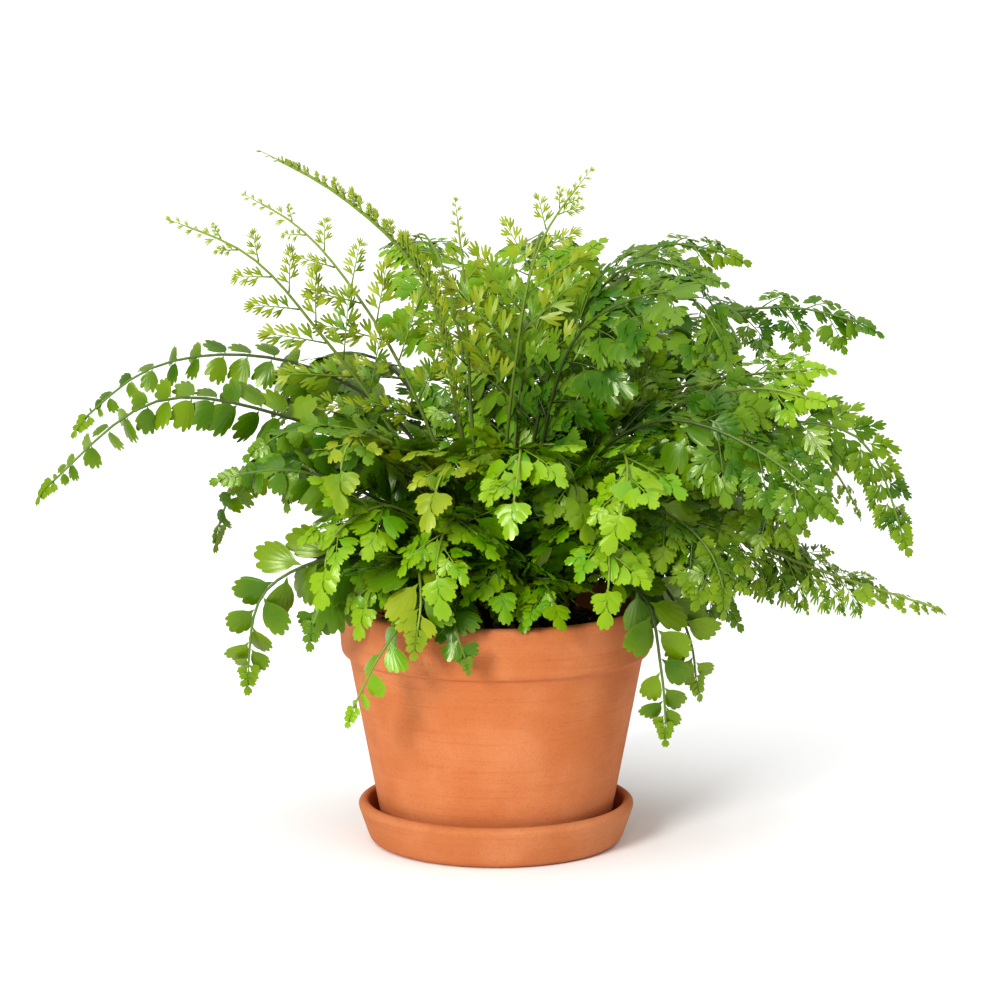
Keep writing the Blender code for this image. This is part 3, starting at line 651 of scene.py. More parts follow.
FRONDS = tuple(Frond(*row) for row in (
    # Small sprays that hang over the rim, in front
    (FRESH, SPRAY, 4, 22, 0.45, 0.0, ((-20, -58, 141), (-38, -84, 137), (-55, -94, 116), (-73, -94, 80))),
    (LIME, SPRAY, 4, 38, 0.50, 0.0, ((-34, -56, 154), (-37, -86, 156), (-36, -101, 141), (-41, -104, 112))),
    (DEEP, SPRAY, 3, 18, 0.55, 0.0, ((-14, -60, 139), (-21, -84, 134), (-18, -96, 123), (-12, -97, 106))),
    (GREEN, SPRAY, 5, 25, 0.46, 0.9, ((50, -42, 146), (72, -60, 138), (81, -71, 102), (84, -73, 65))),
    (GREEN, SPRAY, 5, 26, 0.46, 0.8, ((54, -26, 148), (80, -42, 142), (96, -52, 114), (100, -52, 84))),
    (GREEN, SPRAY, 6, 29, 0.40, 0.9, ((-37, -44, 150), (-75, -62, 158), (-112, -69, 142), (-123, -71, 91))),
    (DEEP, SPRAY, 4, 34, 0.46, 0.7, ((-36, -36, 146), (-66, -54, 154), (-86, -64, 138), (-92, -68, 112))),
    # Fresh fronds that arch towards the front
    (FRESH, BROAD, 4, 38, 0.60, 0.0, ((10, -52, 186), (12, -88, 216), (10, -114, 203), (6, -126, 179))),
    (FRESH, BROAD, 4, 42, 0.60, 0.0, ((40, -45, 180), (62, -76, 210), (62, -101, 194), (54, -109, 169))),
    (FRESH, BROAD, 4, 39, 0.55, 0.0, ((32, -42, 160), (48, -78, 178), (54, -103, 164), (52, -113, 133))),
    (LIME, BROAD, 3, 40, 0.62, 0.0, ((-10, -44, 190), (-20, -82, 210), (-28, -100, 198), (-31, -107, 180))),
    (LIME, BROAD, 3, 42, 0.62, 0.0, ((-38, -36, 190), (-64, -68, 220), (-73, -88, 212), (-75, -93, 186))),
    (FRESH, BROAD, 5, 41, 0.46, 0.3, ((-28, -44, 160), (-56, -72, 184), (-78, -90, 172), (-84, -98, 140))),
    (FRESH, BROAD, 5, 41, 0.46, 0.0, ((-14, -46, 160), (-22, -78, 178), (-28, -98, 164), (-28, -107, 138))),
    (FRESH, BROAD, 4, 34, 0.45, 0.3, ((-36, -44, 148), (-50, -68, 156), (-60, -84, 146), (-66, -92, 124))),
    # This frond and the next take the lighter green as painted light against the shade they sit in
    (DEEP_PAINTED_LIGHTER, BROAD, 3, 36, 0.45, 0.0, ((-4, -40, 146), (0, -64, 156), (2, -82, 146), (3, -90, 130))),
    (DEEP_PAINTED_LIGHTER, BROAD, 3, 34, 0.45, 0.0, ((14, -42, 138), (22, -64, 146), (28, -80, 138), (30, -88, 126))),
    (GREEN, BROAD, 4, 41, 0.55, 0.0, ((18, -34, 180), (30, -62, 206), (38, -84, 198), (42, -96, 172))),
    # Left side
    (GREEN, ARM, 8, 28, 0.34, 0.6, ((-38, -10, 190), (-99, -20, 219), (-165, -34, 231), (-230, -45, 182))),
    (GREEN, ARM, 7, 27, 0.36, 0.5, ((-49, 20, 212), (-98, 25, 241), (-176, 20, 240), (-218, 10, 208))),
    (DEEP, ARM, 5, 28, 0.50, 0.6, ((-34, -22, 180), (-67, -35, 208), (-102, -46, 217), (-123, -52, 204))),
    (DEEP, ARM, 5, 31, 0.45, 0.7, ((-30, -30, 160), (-60, -46, 184), (-100, -62, 200), (-138, -68, 197))),
    (DEEP, ARM, 5, 39, 0.45, 0.4, ((-34, -10, 180), (-68, -26, 208), (-94, -40, 203), (-106, -50, 176))),
    (LIME, CREST, 7, 32, 0.42, 0.0, ((-20, -5, 225), (-37, -12, 290), (-80, -20, 333), (-119, -25, 355))),
    (LIME, YOUNG, 6, 42, 0.42, 0.8, ((-34, 12, 210), (-66, 25, 270), (-104, 38, 313), (-136, 45, 330))),
    (LIME, YOUNG, 6, 40, 0.45, 0.8, ((-50, 8, 205), (-88, 10, 258), (-125, 2, 300), (-170, 0, 320))),
    # Middle, upright
    (LIME, YOUNG, 5, 32, 0.55, 0.7, ((-9, 8, 170), (-13, 15, 225), (-16, 20, 283), (-21, 25, 328))),
    (LIME, YOUNG, 5, 52, 0.50, 0.8, ((4, 2, 170), (9, 0, 240), (24, 0, 309), (55, 0, 352))),
    (FRESH, PINNATE, 5, 45, 0.45, 0.5, ((8, 12, 180), (17, 20, 250), (36, 26, 290), (62, 32, 308))),
    # Right side
    (DEEP, PINNATE, 6, 37, 0.42, 0.4, ((18, -4, 200), (36, -8, 262), (72, -17, 298), (118, -25, 286))),
    (GREEN, PINNATE, 6, 33, 0.42, 0.3, ((20, 26, 190), (44, 44, 252), (84, 59, 299), (134, 60, 292))),
    (DEEP, PINNATE, 7, 35, 0.38, 0.5, ((40, 14, 200), (90, 24, 258), (146, 25, 271), (200, 15, 260))),
    (FRESH, PINNATE, 6, 42, 0.40, 0.5, ((36, -4, 190), (84, -9, 231), (130, -18, 242), (173, -25, 246))),
    (FRESH, PINNATE, 5, 39, 0.42, 0.5, ((36, -12, 180), (84, -26, 224), (132, -37, 237), (170, -45, 228))),
    (FRESH, PINNATE, 6, 36, 0.38, 0.4, ((44, 18, 180), (92, 34, 214), (145, 43, 220), (195, 45, 206))),
    (TRAIL, LOOSE, 5, 30, 0.46, 0.5, ((52, 8, 180), (104, 20, 208), (164, 31, 196), (195, 35, 151))),
    (GREEN, OAK, 7, 34, 0.42, 0.8, ((46, -16, 176), (101, -31, 212), (178, -47, 214), (204, -57, 155))),
    (DEEP, PINNATE, 6, 42, 0.40, 0.6, ((36, -24, 186), (84, -56, 224), (136, -79, 206), (169, -90, 174))),
    (TRAIL, LOOSE, 8, 38, 0.34, 0.4, ((40, 2, 158), (86, 0, 167), (160, -8, 142), (240, -15, 117))),
    (DEEP, PINNATE, 6, 46, 0.42, 0.5, ((22, -16, 200), (48, -40, 272), (92, -62, 286), (118, -80, 248))),
    (DEEP, PINNATE, 4, 30, 0.46, 0.5, ((40, -8, 144), (76, -15, 150), (104, -21, 140), (122, -27, 114))),
    (GREEN, PINNATE, 5, 39, 0.40, 0.6, ((40, -30, 160), (78, -56, 180), (104, -74, 162), (114, -82, 128))),
    (GREEN, PINNATE, 5, 42, 0.40, 0.5, ((42, -10, 176), (88, -22, 204), (132, -38, 186), (152, -50, 150))),
    (DEEP, PINNATE, 5, 39, 0.38, 0.5, ((46, 8, 156), (96, 12, 170), (142, 8, 152), (166, 2, 126))),
    # Back
    (GREEN, PINNATE, 5, 42, 0.42, 0.0, ((-24, 32, 180), (-58, 76, 236), (-96, 122, 232), (-120, 152, 190))),
    (FRESH, PINNATE, 5, 45, 0.42, 0.0, ((-12, 34, 200), (-26, 80, 280), (-40, 128, 300), (-52, 174, 276))),
    (FRESH, PINNATE, 5, 42, 0.42, 0.0, ((6, 34, 200), (18, 84, 284), (25, 136, 300), (30, 182, 262))),
    (DEEP, PINNATE, 5, 42, 0.42, 0.0, ((26, 30, 186), (58, 78, 248), (94, 120, 252), (124, 146, 214))),
    (DEEP, PINNATE, 4, 44, 0.40, 0.0, ((36, 26, 160), (80, 68, 192), (120, 104, 176), (144, 122, 126))),
    # This frond takes the lighter green as painted light against the shade it sits in
    (DEEP_PAINTED_LIGHTER, ARM, 4, 42, 0.40, 0.0, ((-38, 22, 160), (-88, 60, 196), (-134, 92, 176), (-155, 102, 128))),
    (DEEP, PINNATE, 5, 42, 0.40, 0.0, ((0, 40, 160), (4, 94, 190), (0, 138, 160), (-5, 156, 106))),
    (GREEN, PINNATE, 4, 42, 0.40, 0.0, ((-24, 40, 150), (-50, 86, 172), (-74, 120, 146), (-86, 136, 100))),
    (GREEN, PINNATE, 4, 42, 0.40, 0.0, ((26, 38, 150), (52, 84, 172), (76, 122, 142), (85, 140, 95))),
))


def spaced_points(points: list[Vector], count: int) -> list[Vector]:
    """The same line as evenly spaced points."""
    lengths = [0.0]
    for a, b in zip(points, points[1:]):
        lengths.append(lengths[-1] + (b - a).length)
    spaced = []
    at = 0
    for i in range(count):
        wanted = lengths[-1] * i / (count - 1)
        while at < len(points) - 2 and lengths[at + 1] < wanted:
            at += 1
        share = (wanted - lengths[at]) / (lengths[at + 1] - lengths[at])
        spaced.append(points[at].lerp(points[at + 1], share))
    return spaced


@dataclass(frozen=True)
class Clump:
    """Where the stems stand in the soil, and how they pass each other on their way up."""

    radius: float = 40.0 * MM
    hole_spacing: float = 8.0 * MM
    spread_rounds: int = 150
    clearance: float = 5.0 * MM
    parting_rounds: int = 80
    fixed: int = 5

    def holes(self, fronds: tuple[Frond, ...]) -> list[Vector]:
        """A hole for each frond on its own side of the clump, upright ones inside, moved evenly apart."""
        holes = []
        for frond in fronds:
            first = Vector(frond.route[0]) * MM
            tip = Vector(frond.route[-1]) * MM
            lean = math.atan2(tip.xy.length, max(tip.z - SOIL_TOP, 1.0 * MM)) / (0.5 * math.pi)
            holes.append(first.xy.normalized() * self.radius * lean)
        for _ in range(self.spread_rounds):
            for i, hole in enumerate(holes):
                for other in holes[:i] + holes[i + 1 :]:
                    away = hole - other
                    if away.length < self.hole_spacing:
                        hole += away.normalized() * (self.hole_spacing - away.length) * 0.4
                if hole.length > self.radius:
                    hole *= self.radius / hole.length
        return [Vector((hole.x, hole.y, SOIL_TOP)) for hole in holes]

    @staticmethod
    def path(hole: Vector, frond: Frond) -> list[Vector]:
        """A smooth path that leaves the hole upright and passes through the frond's route."""
        knots = [hole] + [Vector(point) * MM for point in frond.route]
        spans = [(b - a).length for a, b in zip(knots, knots[1:])]
        ways = [(b - a) / span for a, b, span in zip(knots, knots[1:], spans)]
        slopes = [UP]
        for i in range(1, len(ways)):
            slopes.append((ways[i - 1] * spans[i] + ways[i] * spans[i - 1]) / (spans[i - 1] + spans[i]))
        slopes.append(ways[-1])
        points = [knots[0]]
        for i, span in enumerate(spans):
            start = knots[i] + slopes[i] * span / 3.0
            end = knots[i + 1] - slopes[i + 1] * span / 3.0
            points += interpolate_bezier(knots[i], start, end, knots[i + 1], STEM_SAMPLES)[1:]
        spare = TIP_SHARE * frond.leaf * MM
        while (points[-1] - points[-2]).length < spare:
            spare -= (points[-1] - points[-2]).length
            points.pop()
        return spaced_points(points, STEM_SAMPLES)

    def parted(self, paths: list[list[Vector]]) -> list[list[Vector]]:
        """The paths after stems that pass too close to each other are bent clear."""
        for _ in range(self.parting_rounds):
            tree = KDTree(len(paths) * STEM_SAMPLES)
            for f, path in enumerate(paths):
                for s, point in enumerate(path):
                    tree.insert(point, f * STEM_SAMPLES + s)
            tree.balance()
            for f, path in enumerate(paths):
                pushes = [Vector() for _ in path]
                for s in range(self.fixed, STEM_SAMPLES):
                    for near, index, distance in tree.find_range(path[s], self.clearance):
                        if index // STEM_SAMPLES != f:
                            away = (path[s] - near).normalized()
                            pushes[s] += away * (self.clearance - distance) * 0.3
                for s in range(self.fixed, STEM_SAMPLES):
                    window = pushes[max(s - 3, 0) : s + 4]
                    path[s] += sum(window, Vector()) / len(window)
        return [spaced_points(path, STEM_SAMPLES) for path in paths]


class Stem:
    """A stem's path with a side and a normal at each sample, turned along without twisting."""

    def __init__(self, path: list[Vector], frond: Frond) -> None:
        """Turns the frame along the path, then the blade towards the front."""
        self.path = path
        self.length = sum((b - a).length for a, b in zip(path, path[1:]))
        self.ways = []
        for i in range(len(path)):
            step = path[min(i + 1, len(path) - 1)] - path[max(i - 1, 0)]
            self.ways.append(step.normalized())
        self.ways[0] = UP.copy()
        heading = (path[2 * len(path) // 3] - path[0]).xy.normalized()
        side = Vector((-heading.y, heading.x, 0.0))
        self.sides = []
        for i, way in enumerate(self.ways):
            side = (side - way * side.dot(way)).normalized()
            turned = min(1.0, i / (frond.bare * len(path))) * frond.face
            self.sides.append(self.facing_side(way, side, turned))

    @staticmethod
    def facing_side(way: Vector, side: Vector, turned: float) -> Vector:
        """The side after the blade turns about its stem, so that its upper face looks more to the front."""
        normal = way.cross(side)
        wanted = FRONT - way * FRONT.dot(way)
        angle = math.atan2(normal.cross(wanted).dot(way), normal.dot(wanted))
        return Matrix.Rotation(angle * turned * wanted.length, 3, way) @ side

    def frame(self, share: float) -> tuple[Vector, Vector, Vector, Vector]:
        """Point, way along, side and upper normal at a share of the stem's length."""
        at = min(max(share, 0.0), 1.0) * (len(self.path) - 1)
        i = min(int(at), len(self.path) - 2)
        point = self.path[i].lerp(self.path[i + 1], at - i)
        way = self.ways[i].lerp(self.ways[i + 1], at - i).normalized()
        side = self.sides[i].lerp(self.sides[i + 1], at - i)
        side = (side - way * side.dot(way)).normalized()
        return point, way, side, way.cross(side)

    def width(self, share: float) -> float:
        """The stem's width at a share of its length."""
        return STEM_BASE + (STEM_TIP - STEM_BASE) * share


@dataclass
class Place:
    """A leaflet's place on its stem: the shares where its root starts and ends, and its side."""

    low: float
    high: float
    hand: int
    length: float


@dataclass
class Pose:
    """How one leaflet is held: its root, its own axes, its length and how far it droops."""

    root: Vector
    axis: Vector
    across: Vector
    upper: Vector
    length: float
    droop: float
    share: float
    stem_way: Vector

    def at(self, along: float) -> Vector:
        """A point on the leaflet's midrib."""
        return self.root + self.axis * self.length * along - UP * self.length * self.droop * along * along

    def way(self, along: float) -> Vector:
        """The midrib's direction at that point."""
        return (self.axis - UP * 2.0 * self.droop * along).normalized()


class Thicket:
    """Everything already placed, by cells of space, so that a new leaflet can be tried against it."""

    CELL = 40.0 * MM
    OUTLINE = ((0.52, 0.52), (1.0, 0.26), (0.80, -0.06), (0.72, -0.54))
    FACES = ((1, 2, 3), (1, 3, 4), (1, 4, 0), (0, 4, 5))
    LEAF_HALF = 0.75 * MM
    ROOT_HALF = 1.3 * MM
    STEM_MARGIN = 0.4 * MM
    ROOT_REACH = 2.5 * MM
    SIZES = (1.0, 0.85, 0.68, 0.52)
    SWINGS = (0.0, 14.0, -14.0)
    TILTS = (0.0, -13.0, 13.0, -27.0, 27.0, -42.0, 42.0)

    def __init__(self, stems: list[BVHTree], fixed: list[BVHTree]) -> None:
        """Starts with the stems and the clay."""
        self.stems = stems
        self.fixed = fixed
        self.cells = {}

    @classmethod
    def stem_solid(cls, stem: Stem, shares: tuple[list[float], list[float]]) -> BVHTree:
        """The stem as a square tube with its clearance round it."""
        corners = []
        faces = []
        for left, right in zip(*shares):
            for share, over, high in ((left, 1, 1), (left, 1, -1), (right, -1, -1), (right, -1, 1)):
                point, _, side, normal = stem.frame(share)
                half = stem.width(share) / 2.0 + cls.STEM_MARGIN
                corners.append(point + side * half * over + normal * half * high)
        for low in range(0, len(corners) - 4, 4):
            for corner in range(4):
                following = (corner + 1) % 4
                faces.append((low + corner, low + following, low + 4 + corner))
                faces.append((low + following, low + 4 + following, low + 4 + corner))
        return BVHTree.FromPolygons(corners, faces)

    def leaflet_solid(self, points: list[Vector], root_half: float) -> BVHTree:
        """A leaflet as a thick plate with all the clearance that it needs round it."""
        a, b, c = points[0], points[1], points[4]
        normal = (b - a).cross(c - a).normalized()
        middle = sum(points, Vector()) / len(points)
        halves = [root_half, root_half] + [self.LEAF_HALF] * len(self.OUTLINE)
        grown = [point + (point - middle).normalized() * self.LEAF_HALF for point in points]
        corners = [point + normal * half for point, half in zip(grown, halves)]
        corners += [point - normal * half for point, half in zip(grown, halves)]
        count = len(points)
        faces = list(self.FACES) + [tuple(i + count for i in face) for face in self.FACES]
        for start in range(count):
            end = (start + 1) % count
            faces.append((start, end, end + count, start + count))
        return BVHTree.FromPolygons(corners, faces)

    def cells_of(self, points: list[Vector]) -> list[tuple[int, int, int]]:
        """The cells that the points' box touches."""
        low = [math.floor(min(point[k] for point in points) / self.CELL) for k in range(3)]
        high = [math.floor(max(point[k] for point in points) / self.CELL) for k in range(3)]
        spans = [range(low[k], high[k] + 1) for k in range(3)]
        return [(x, y, z) for x in spans[0] for y in spans[1] for z in spans[2]]

    def try_points(self, points: list[Vector], owner: int) -> bool:
        """Places a leaflet if it is clear of everything.

        Args:
            points: its root corners and its outline.
            owner: the number of its own stem.

        Returns:
            Whether it was placed.
        """
        middle = sum(points, Vector()) / len(points)
        roots = [point + (middle - point).normalized() * self.ROOT_REACH for point in points[:2]]
        if self.leaflet_solid(roots + points[2:], self.LEAF_HALF).overlap(self.stems[owner]):
            return False
        tree = self.leaflet_solid(points, self.ROOT_HALF)
        cells = self.cells_of(points)
        others = [other for cell in cells for other in self.cells.get(cell, [])]
        others += self.stems[:owner] + self.stems[owner + 1 :] + self.fixed
        if any(tree.overlap(other) for other in others):
            return False
        for cell in cells:
            self.cells.setdefault(cell, []).append(tree)
        return True


class FrondPlan:
    """One frond's stem and the poses of its leaflets, as its CAD node has them."""

    LEAF_ROOT = 3.2 * MM
    ROOT_TAPER = 0.35
    BARE_STATIONS = (0.34, 0.68, 1.0)
    FILLER_SPACING = 14.0 * MM
    LOWEST_FILLER = 0.14

    def __init__(self, number: int, frond: Frond, path: list[Vector]) -> None:
        """Finds the places up both sides of the blade."""
        self.number = number
        self.frond = frond
        self.stem = Stem(path, frond)
        self.places = self.find_places()
        self.poses = []

    def find_places(self) -> list[Place]:
        """Alternate places up both sides of the blade."""
        frond = self.frond
        spacing = (1.0 - frond.bare) / (frond.pairs + 0.35)
        root = self.LEAF_ROOT / self.stem.length
        places = []
        for i in range(frond.pairs):
            for hand, shift in ((1, 0.0), (-1, 0.45)):
                middle = frond.bare + spacing * (i + 0.1 + shift)
                share = (middle - frond.bare) / (1.0 - frond.bare)
                profile = min(1.0, 0.72 + 1.4 * share) * (1.0 - frond.kind.taper * share**1.5)
                length = max(frond.leaf * MM * profile, LEAST_LEAF)
                width = root * (1.0 - self.ROOT_TAPER * share)
                places.append(Place(middle - width / 2.0, middle + width / 2.0, hand, length))
        return places

    def filler_poses(self, lower: int, middle: bool, upper: int, draw: random.Random) -> list[Pose]:
        """Poses for blades too small or too deep inside the plant for the solid to have them.

        Args:
            lower: how many pairs to add below the first one.
            middle: whether to add one halfway between each leaflet and the next on its side.
            upper: how many pairs to add between the last one and the tip.
            draw: the random source.

        Returns:
            The added poses.
        """
        frond = self.frond
        kind = frond.kind
        spacing = min((1.0 - frond.bare) / (frond.pairs + 0.35), self.FILLER_SPACING / self.stem.length)
        found = []
        for i in range(lower):
            for hand, shift in ((1, 0.0), (-1, 0.45)):
                share = frond.bare - spacing * (i + 0.9 - shift)
                if share > self.LOWEST_FILLER:
                    found.append((share, hand, frond.leaf * MM * draw.uniform(0.60, 0.92)))
        if middle:
            for one, other in zip(self.places, self.places[2:]):
                found.append(((one.high + other.low) / 2.0, one.hand, (one.length + other.length) / 2.0))
        last = self.places[-1].high
        for i in range(upper):
            for hand, shift in ((1, 0.25), (-1, 0.75)):
                along = (i + shift) / upper
                length = self.places[-1].length * (0.95 - 0.50 * along)
                found.append((last + (TIP_AT - last) * along, hand, length))
        poses = []
        for share, hand, length in found:
            place = Place(share - 0.004, share + 0.004, hand, length)
            swing = kind.swing_low + (kind.swing_high - kind.swing_low) * share + draw.uniform(-8.0, 8.0)
            poses.append(self.pose(place, swing, kind.tilt + draw.uniform(-14.0, 14.0), 1.0)[0])
        return poses

    def stations(self) -> tuple[list[float], list[float]]:
        """Shares along the left and the right edge where the stem's strip has its corners."""
        left = [0.0] + [self.frond.bare * share - 0.02 for share in self.BARE_STATIONS]
        right = list(left)
        for place in self.places:
            edge = left if place.hand > 0 else right
            edge.extend((place.low, place.high))
        return left + [1.0], right + [1.0]

    def edge_point(self, share: float, hand: int) -> Vector:
        """A point on one edge of the stem."""
        point, _, side, _ = self.stem.frame(share)
        return point + side * hand * self.stem.width(share) / 2.0

    def pose(self, place: Place, swing: float, tilt: float, size: float) -> tuple[Pose, list[Vector]]:
        """A leaflet's pose, and its six corners in the solid."""
        kind = self.frond.kind
        near = self.edge_point(place.low, place.hand)
        far = self.edge_point(place.high, place.hand)
        _, way, side, normal = self.stem.frame((place.low + place.high) / 2.0)
        lift = math.radians(tilt)
        out = side * place.hand * math.cos(lift) + normal * math.sin(lift)
        turn = math.radians(swing)
        axis = (way * math.cos(turn) + out * math.sin(turn)).normalized()
        upper = (normal - axis * normal.dot(axis)).normalized()
        across = upper.cross(axis) * place.hand
        across *= 1.0 if across.dot(way) > 0.0 else -1.0
        length = place.length * size
        width = length * kind.width
        root = (near + far) / 2.0
        points = [near, far]
        for along, over in Thicket.OUTLINE:
            point = root + axis * length * along + across * width * over
            point -= upper * width * kind.cup * abs(over) * 2.0
            point -= UP * length * kind.droop * along * along
            points.append(point)
        share = (place.low - self.frond.bare) / (1.0 - self.frond.bare)
        return Pose(root, axis, across, upper, length, kind.droop, share, way), points

    def grow(self, thicket: Thicket) -> None:
        """Gives each leaflet the first way of holding it that is clear, then keeps room for the tip."""
        draw = random.Random(1000 + self.number)
        kind = self.frond.kind
        for place in self.places:
            swing = kind.swing_low + (kind.swing_high - kind.swing_low) * place.low + draw.uniform(-6.0, 6.0)
            tilt = kind.tilt + draw.uniform(-9.0, 9.0)
            for size, more, lift in product(thicket.SIZES, thicket.SWINGS, thicket.TILTS):
                pose, points = self.pose(place, swing + more, tilt + lift, size)
                if thicket.try_points(points, self.number):
                    self.poses.append(pose)
                    break
        thicket.try_points(self.tip_points(), self.number)

    def tip_points(self) -> list[Vector]:
        """The six corners of the leaflet that ends the stem."""
        kind = self.frond.kind
        length = max(self.frond.leaf * TIP_SHARE * MM, LEAST_LEAF)
        point, way, side, normal = self.stem.frame(1.0)
        half = self.stem.width(1.0) / 2.0
        points = [point - side * half, point + side * half]
        width = length * kind.width
        for along, over in Thicket.OUTLINE:
            bend = normal * width * kind.cup * abs(over)
            points.append(point + way * length * along + side * width * over - bend)
        return points


class FoliageMesh:
    """Collects the tubes and the copied leaflets of one frond, and makes them one mesh."""

    STEM_TINT = 0.5

    def __init__(self) -> None:
        """Starts empty."""
        self.points = []
        self.corners = []
        self.sizes = []
        self.blade = []
        self.age = []
        self.tint = []
        self.slots = []
        self.count = 0

    def add(self, points: np.ndarray, corners: np.ndarray, sizes: np.ndarray, blade: np.ndarray,
            age: np.ndarray, tint: float, slot: int) -> None:
        """Adds a piece.

        Args:
            points: its vertices.
            corners: the vertex of each corner, face after face.
            sizes: the number of corners of each face.
            blade: the leaf coordinates of each corner.
            age: 0 for old tissue to 1 for young, at each vertex.
            tint: how light the whole piece is, from 0 to 1.
            slot: 0 for leaf and 1 for stem.
        """
        self.points.append(points)
        self.corners.append(corners + self.count)
        self.sizes.append(sizes)
        self.blade.append(blade)
        self.age.append(age)
        self.tint.append(np.full(len(points), tint))
        self.slots.append(np.full(len(sizes), slot))
        self.count += len(points)

    def leaf(self, pattern: Pattern, root: Vector, axis: Vector, upper: Vector, hand: int, length: float,
             width: float, bend: float, twist: float, age: float, tint: float) -> None:
        """Copies a pattern into place.

        Args:
            pattern: the leaflet to copy.
            root: where its stalk starts.
            axis: the way that it points.
            upper: roughly the way that its upper side looks.
            hand: 1, or -1 for a mirrored copy.
            length: its length.
            width: its breadth against the pattern's own.
            bend: how far its tip bends down, as a share of its length.
            twist: how far its tip turns about its axis, in degrees.
            age: 0 for old to 1 for young.
            tint: how light it is, from 0 to 1.
        """
        axis = axis.normalized()
        upper = (upper - axis * upper.dot(axis)).normalized()
        across = upper.cross(axis) * hand
        x = pattern.points[:, 0]
        y = pattern.points[:, 1] * width
        z = pattern.points[:, 2] - bend * x * x
        turn = np.radians(twist) * x
        turned_y = y * np.cos(turn) - z * np.sin(turn)
        turned_z = y * np.sin(turn) + z * np.cos(turn)
        local = np.stack((x, turned_y, turned_z), axis=1) * length
        frame_rows = np.array((axis, across, upper), dtype=float)
        points = local @ frame_rows + np.array(root)
        corners = pattern.corners
        blade = pattern.blade
        if hand < 0:
            order = self.reversed_order(pattern.sizes)
            corners = corners[order]
            blade = blade[order]
        self.add(points, corners, pattern.sizes, blade, np.full(len(points), age), tint, 0)

    @staticmethod
    def reversed_order(sizes: np.ndarray) -> np.ndarray:
        """The corner order that turns every face over."""
        starts = np.concatenate(([0], np.cumsum(sizes)[:-1]))
        faces = zip(starts, sizes)
        return np.concatenate([np.arange(start + size - 1, start - 1, -1) for start, size in faces])

    def tube(self, path: list[Vector], radii: list[float], sides: int, ages: list[float]) -> None:
        """Adds a round, tapered stem that is closed at both ends."""
        rings = []
        side = None
        for i, point in enumerate(path):
            way = (path[min(i + 1, len(path) - 1)] - path[max(i - 1, 0)]).normalized()
            side = side or way.orthogonal().normalized()
            side = (side - way * side.dot(way)).normalized()
            other = way.cross(side)
            for k in range(sides):
                turn = 2.0 * math.pi * k / sides
                rings.append(point + (side * math.cos(turn) + other * math.sin(turn)) * radii[i])
        faces = []
        for i in range(len(path) - 1):
            for k in range(sides):
                a = i * sides + k
                b = i * sides + (k + 1) % sides
                faces.append((a, b, b + sides, a + sides))
        first = tuple(reversed(range(sides)))
        last = tuple(range((len(path) - 1) * sides, len(path) * sides))
        sizes = np.array([4] * len(faces) + [sides, sides], dtype=np.int64)
        corners = np.array([c for face in faces for c in face] + list(first) + list(last), dtype=np.int64)
        blade = np.zeros((len(corners), 2), dtype=np.float32)
        age = np.repeat(np.array(ages), sides)
        self.add(np.array(rings), corners, sizes, blade, age, self.STEM_TINT, 1)

    def build(self, name: str, materials: list[bpy.types.Material]) -> bpy.types.Object:
        """Makes the object.

        Args:
            name: its name.
            materials: the leaf's and the stem's material.

        Returns:
            The new object, at the origin.
        """
        points = np.concatenate(self.points)
        corners = np.concatenate(self.corners)
        sizes = np.concatenate(self.sizes)
        mesh = bpy.data.meshes.new(name)
        mesh.vertices.add(len(points))
        mesh.vertices.foreach_set("co", points.astype(np.float32).ravel())
        mesh.loops.add(len(corners))
        mesh.loops.foreach_set("vertex_index", corners.astype(np.int32))
        mesh.polygons.add(len(sizes))
        starts = np.concatenate(([0], np.cumsum(sizes)[:-1]))
        mesh.polygons.foreach_set("loop_start", starts.astype(np.int32))
        mesh.polygons.foreach_set("material_index", np.concatenate(self.slots).astype(np.int32))
        mesh.polygons.foreach_set("use_smooth", np.ones(len(sizes), dtype=bool))
        layer = mesh.uv_layers.new(name="blade")
        layer.uv.foreach_set("vector", np.concatenate(self.blade).astype(np.float32).ravel())
        for key, values in (("age", self.age), ("tint", self.tint)):
            attribute = mesh.attributes.new(key, "FLOAT", "POINT")
            attribute.data.foreach_set("value", np.concatenate(values).astype(np.float32))
        mesh.update(calc_edges=True)
        mesh.validate()
        for material in materials:
            mesh.materials.append(material)
        obj = bpy.data.objects.new(name, mesh)
        bpy.context.scene.collection.objects.link(obj)
        return obj


@dataclass(frozen=True)
class Blade:
    """A divided side blade: a rib with leaflets on both sides and one at its end.

    leaflet and end name the patterns, first and last are where along the rib the leaflets start and
    end, size and end_size the first and the end leaflet's shares of the blade's length, width the
    leaflets' breadth against their pattern's own, rib the rib's thickness, and open_by how far the
    leaflets stand out from the rib, in degrees.
    """

    leaflet: str
    pairs: int
    first: float
    last: float
    size: float
    width: float
    end: str
    end_size: float
    rib: float
    open_by: float = 62.0


BROAD_BLADE = Blade("round", 2, 0.10, 0.50, 0.52, 1.1, "oak", 0.58, 0.9 * MM)
PINNATE_BLADE = Blade("cut", 2, 0.12, 0.54, 0.60, 1.0, "oak", 0.56, 0.9 * MM)
YOUNG_BLADE = Blade("finger", 3, 0.20, 0.86, 0.4375, 1.0, "finger", 0.24, 1.2 * MM, 48.0)
CREST_BLADE = Blade("finger", 2, 0.36, 0.74, 0.50, 0.95, "finger", 0.46, 1.3 * MM, 44.0)
TRAIL_BLADE = Blade("finger", 4, 0.12, 0.74, 0.46, 0.9, "tip", 0.34, 0.8 * MM, 54.0)
TAIL_BLADE = Blade("finger", 3, 0.04, 0.84, 0.36, 0.8, "finger", 0.24, 1.0 * MM, 46.0)


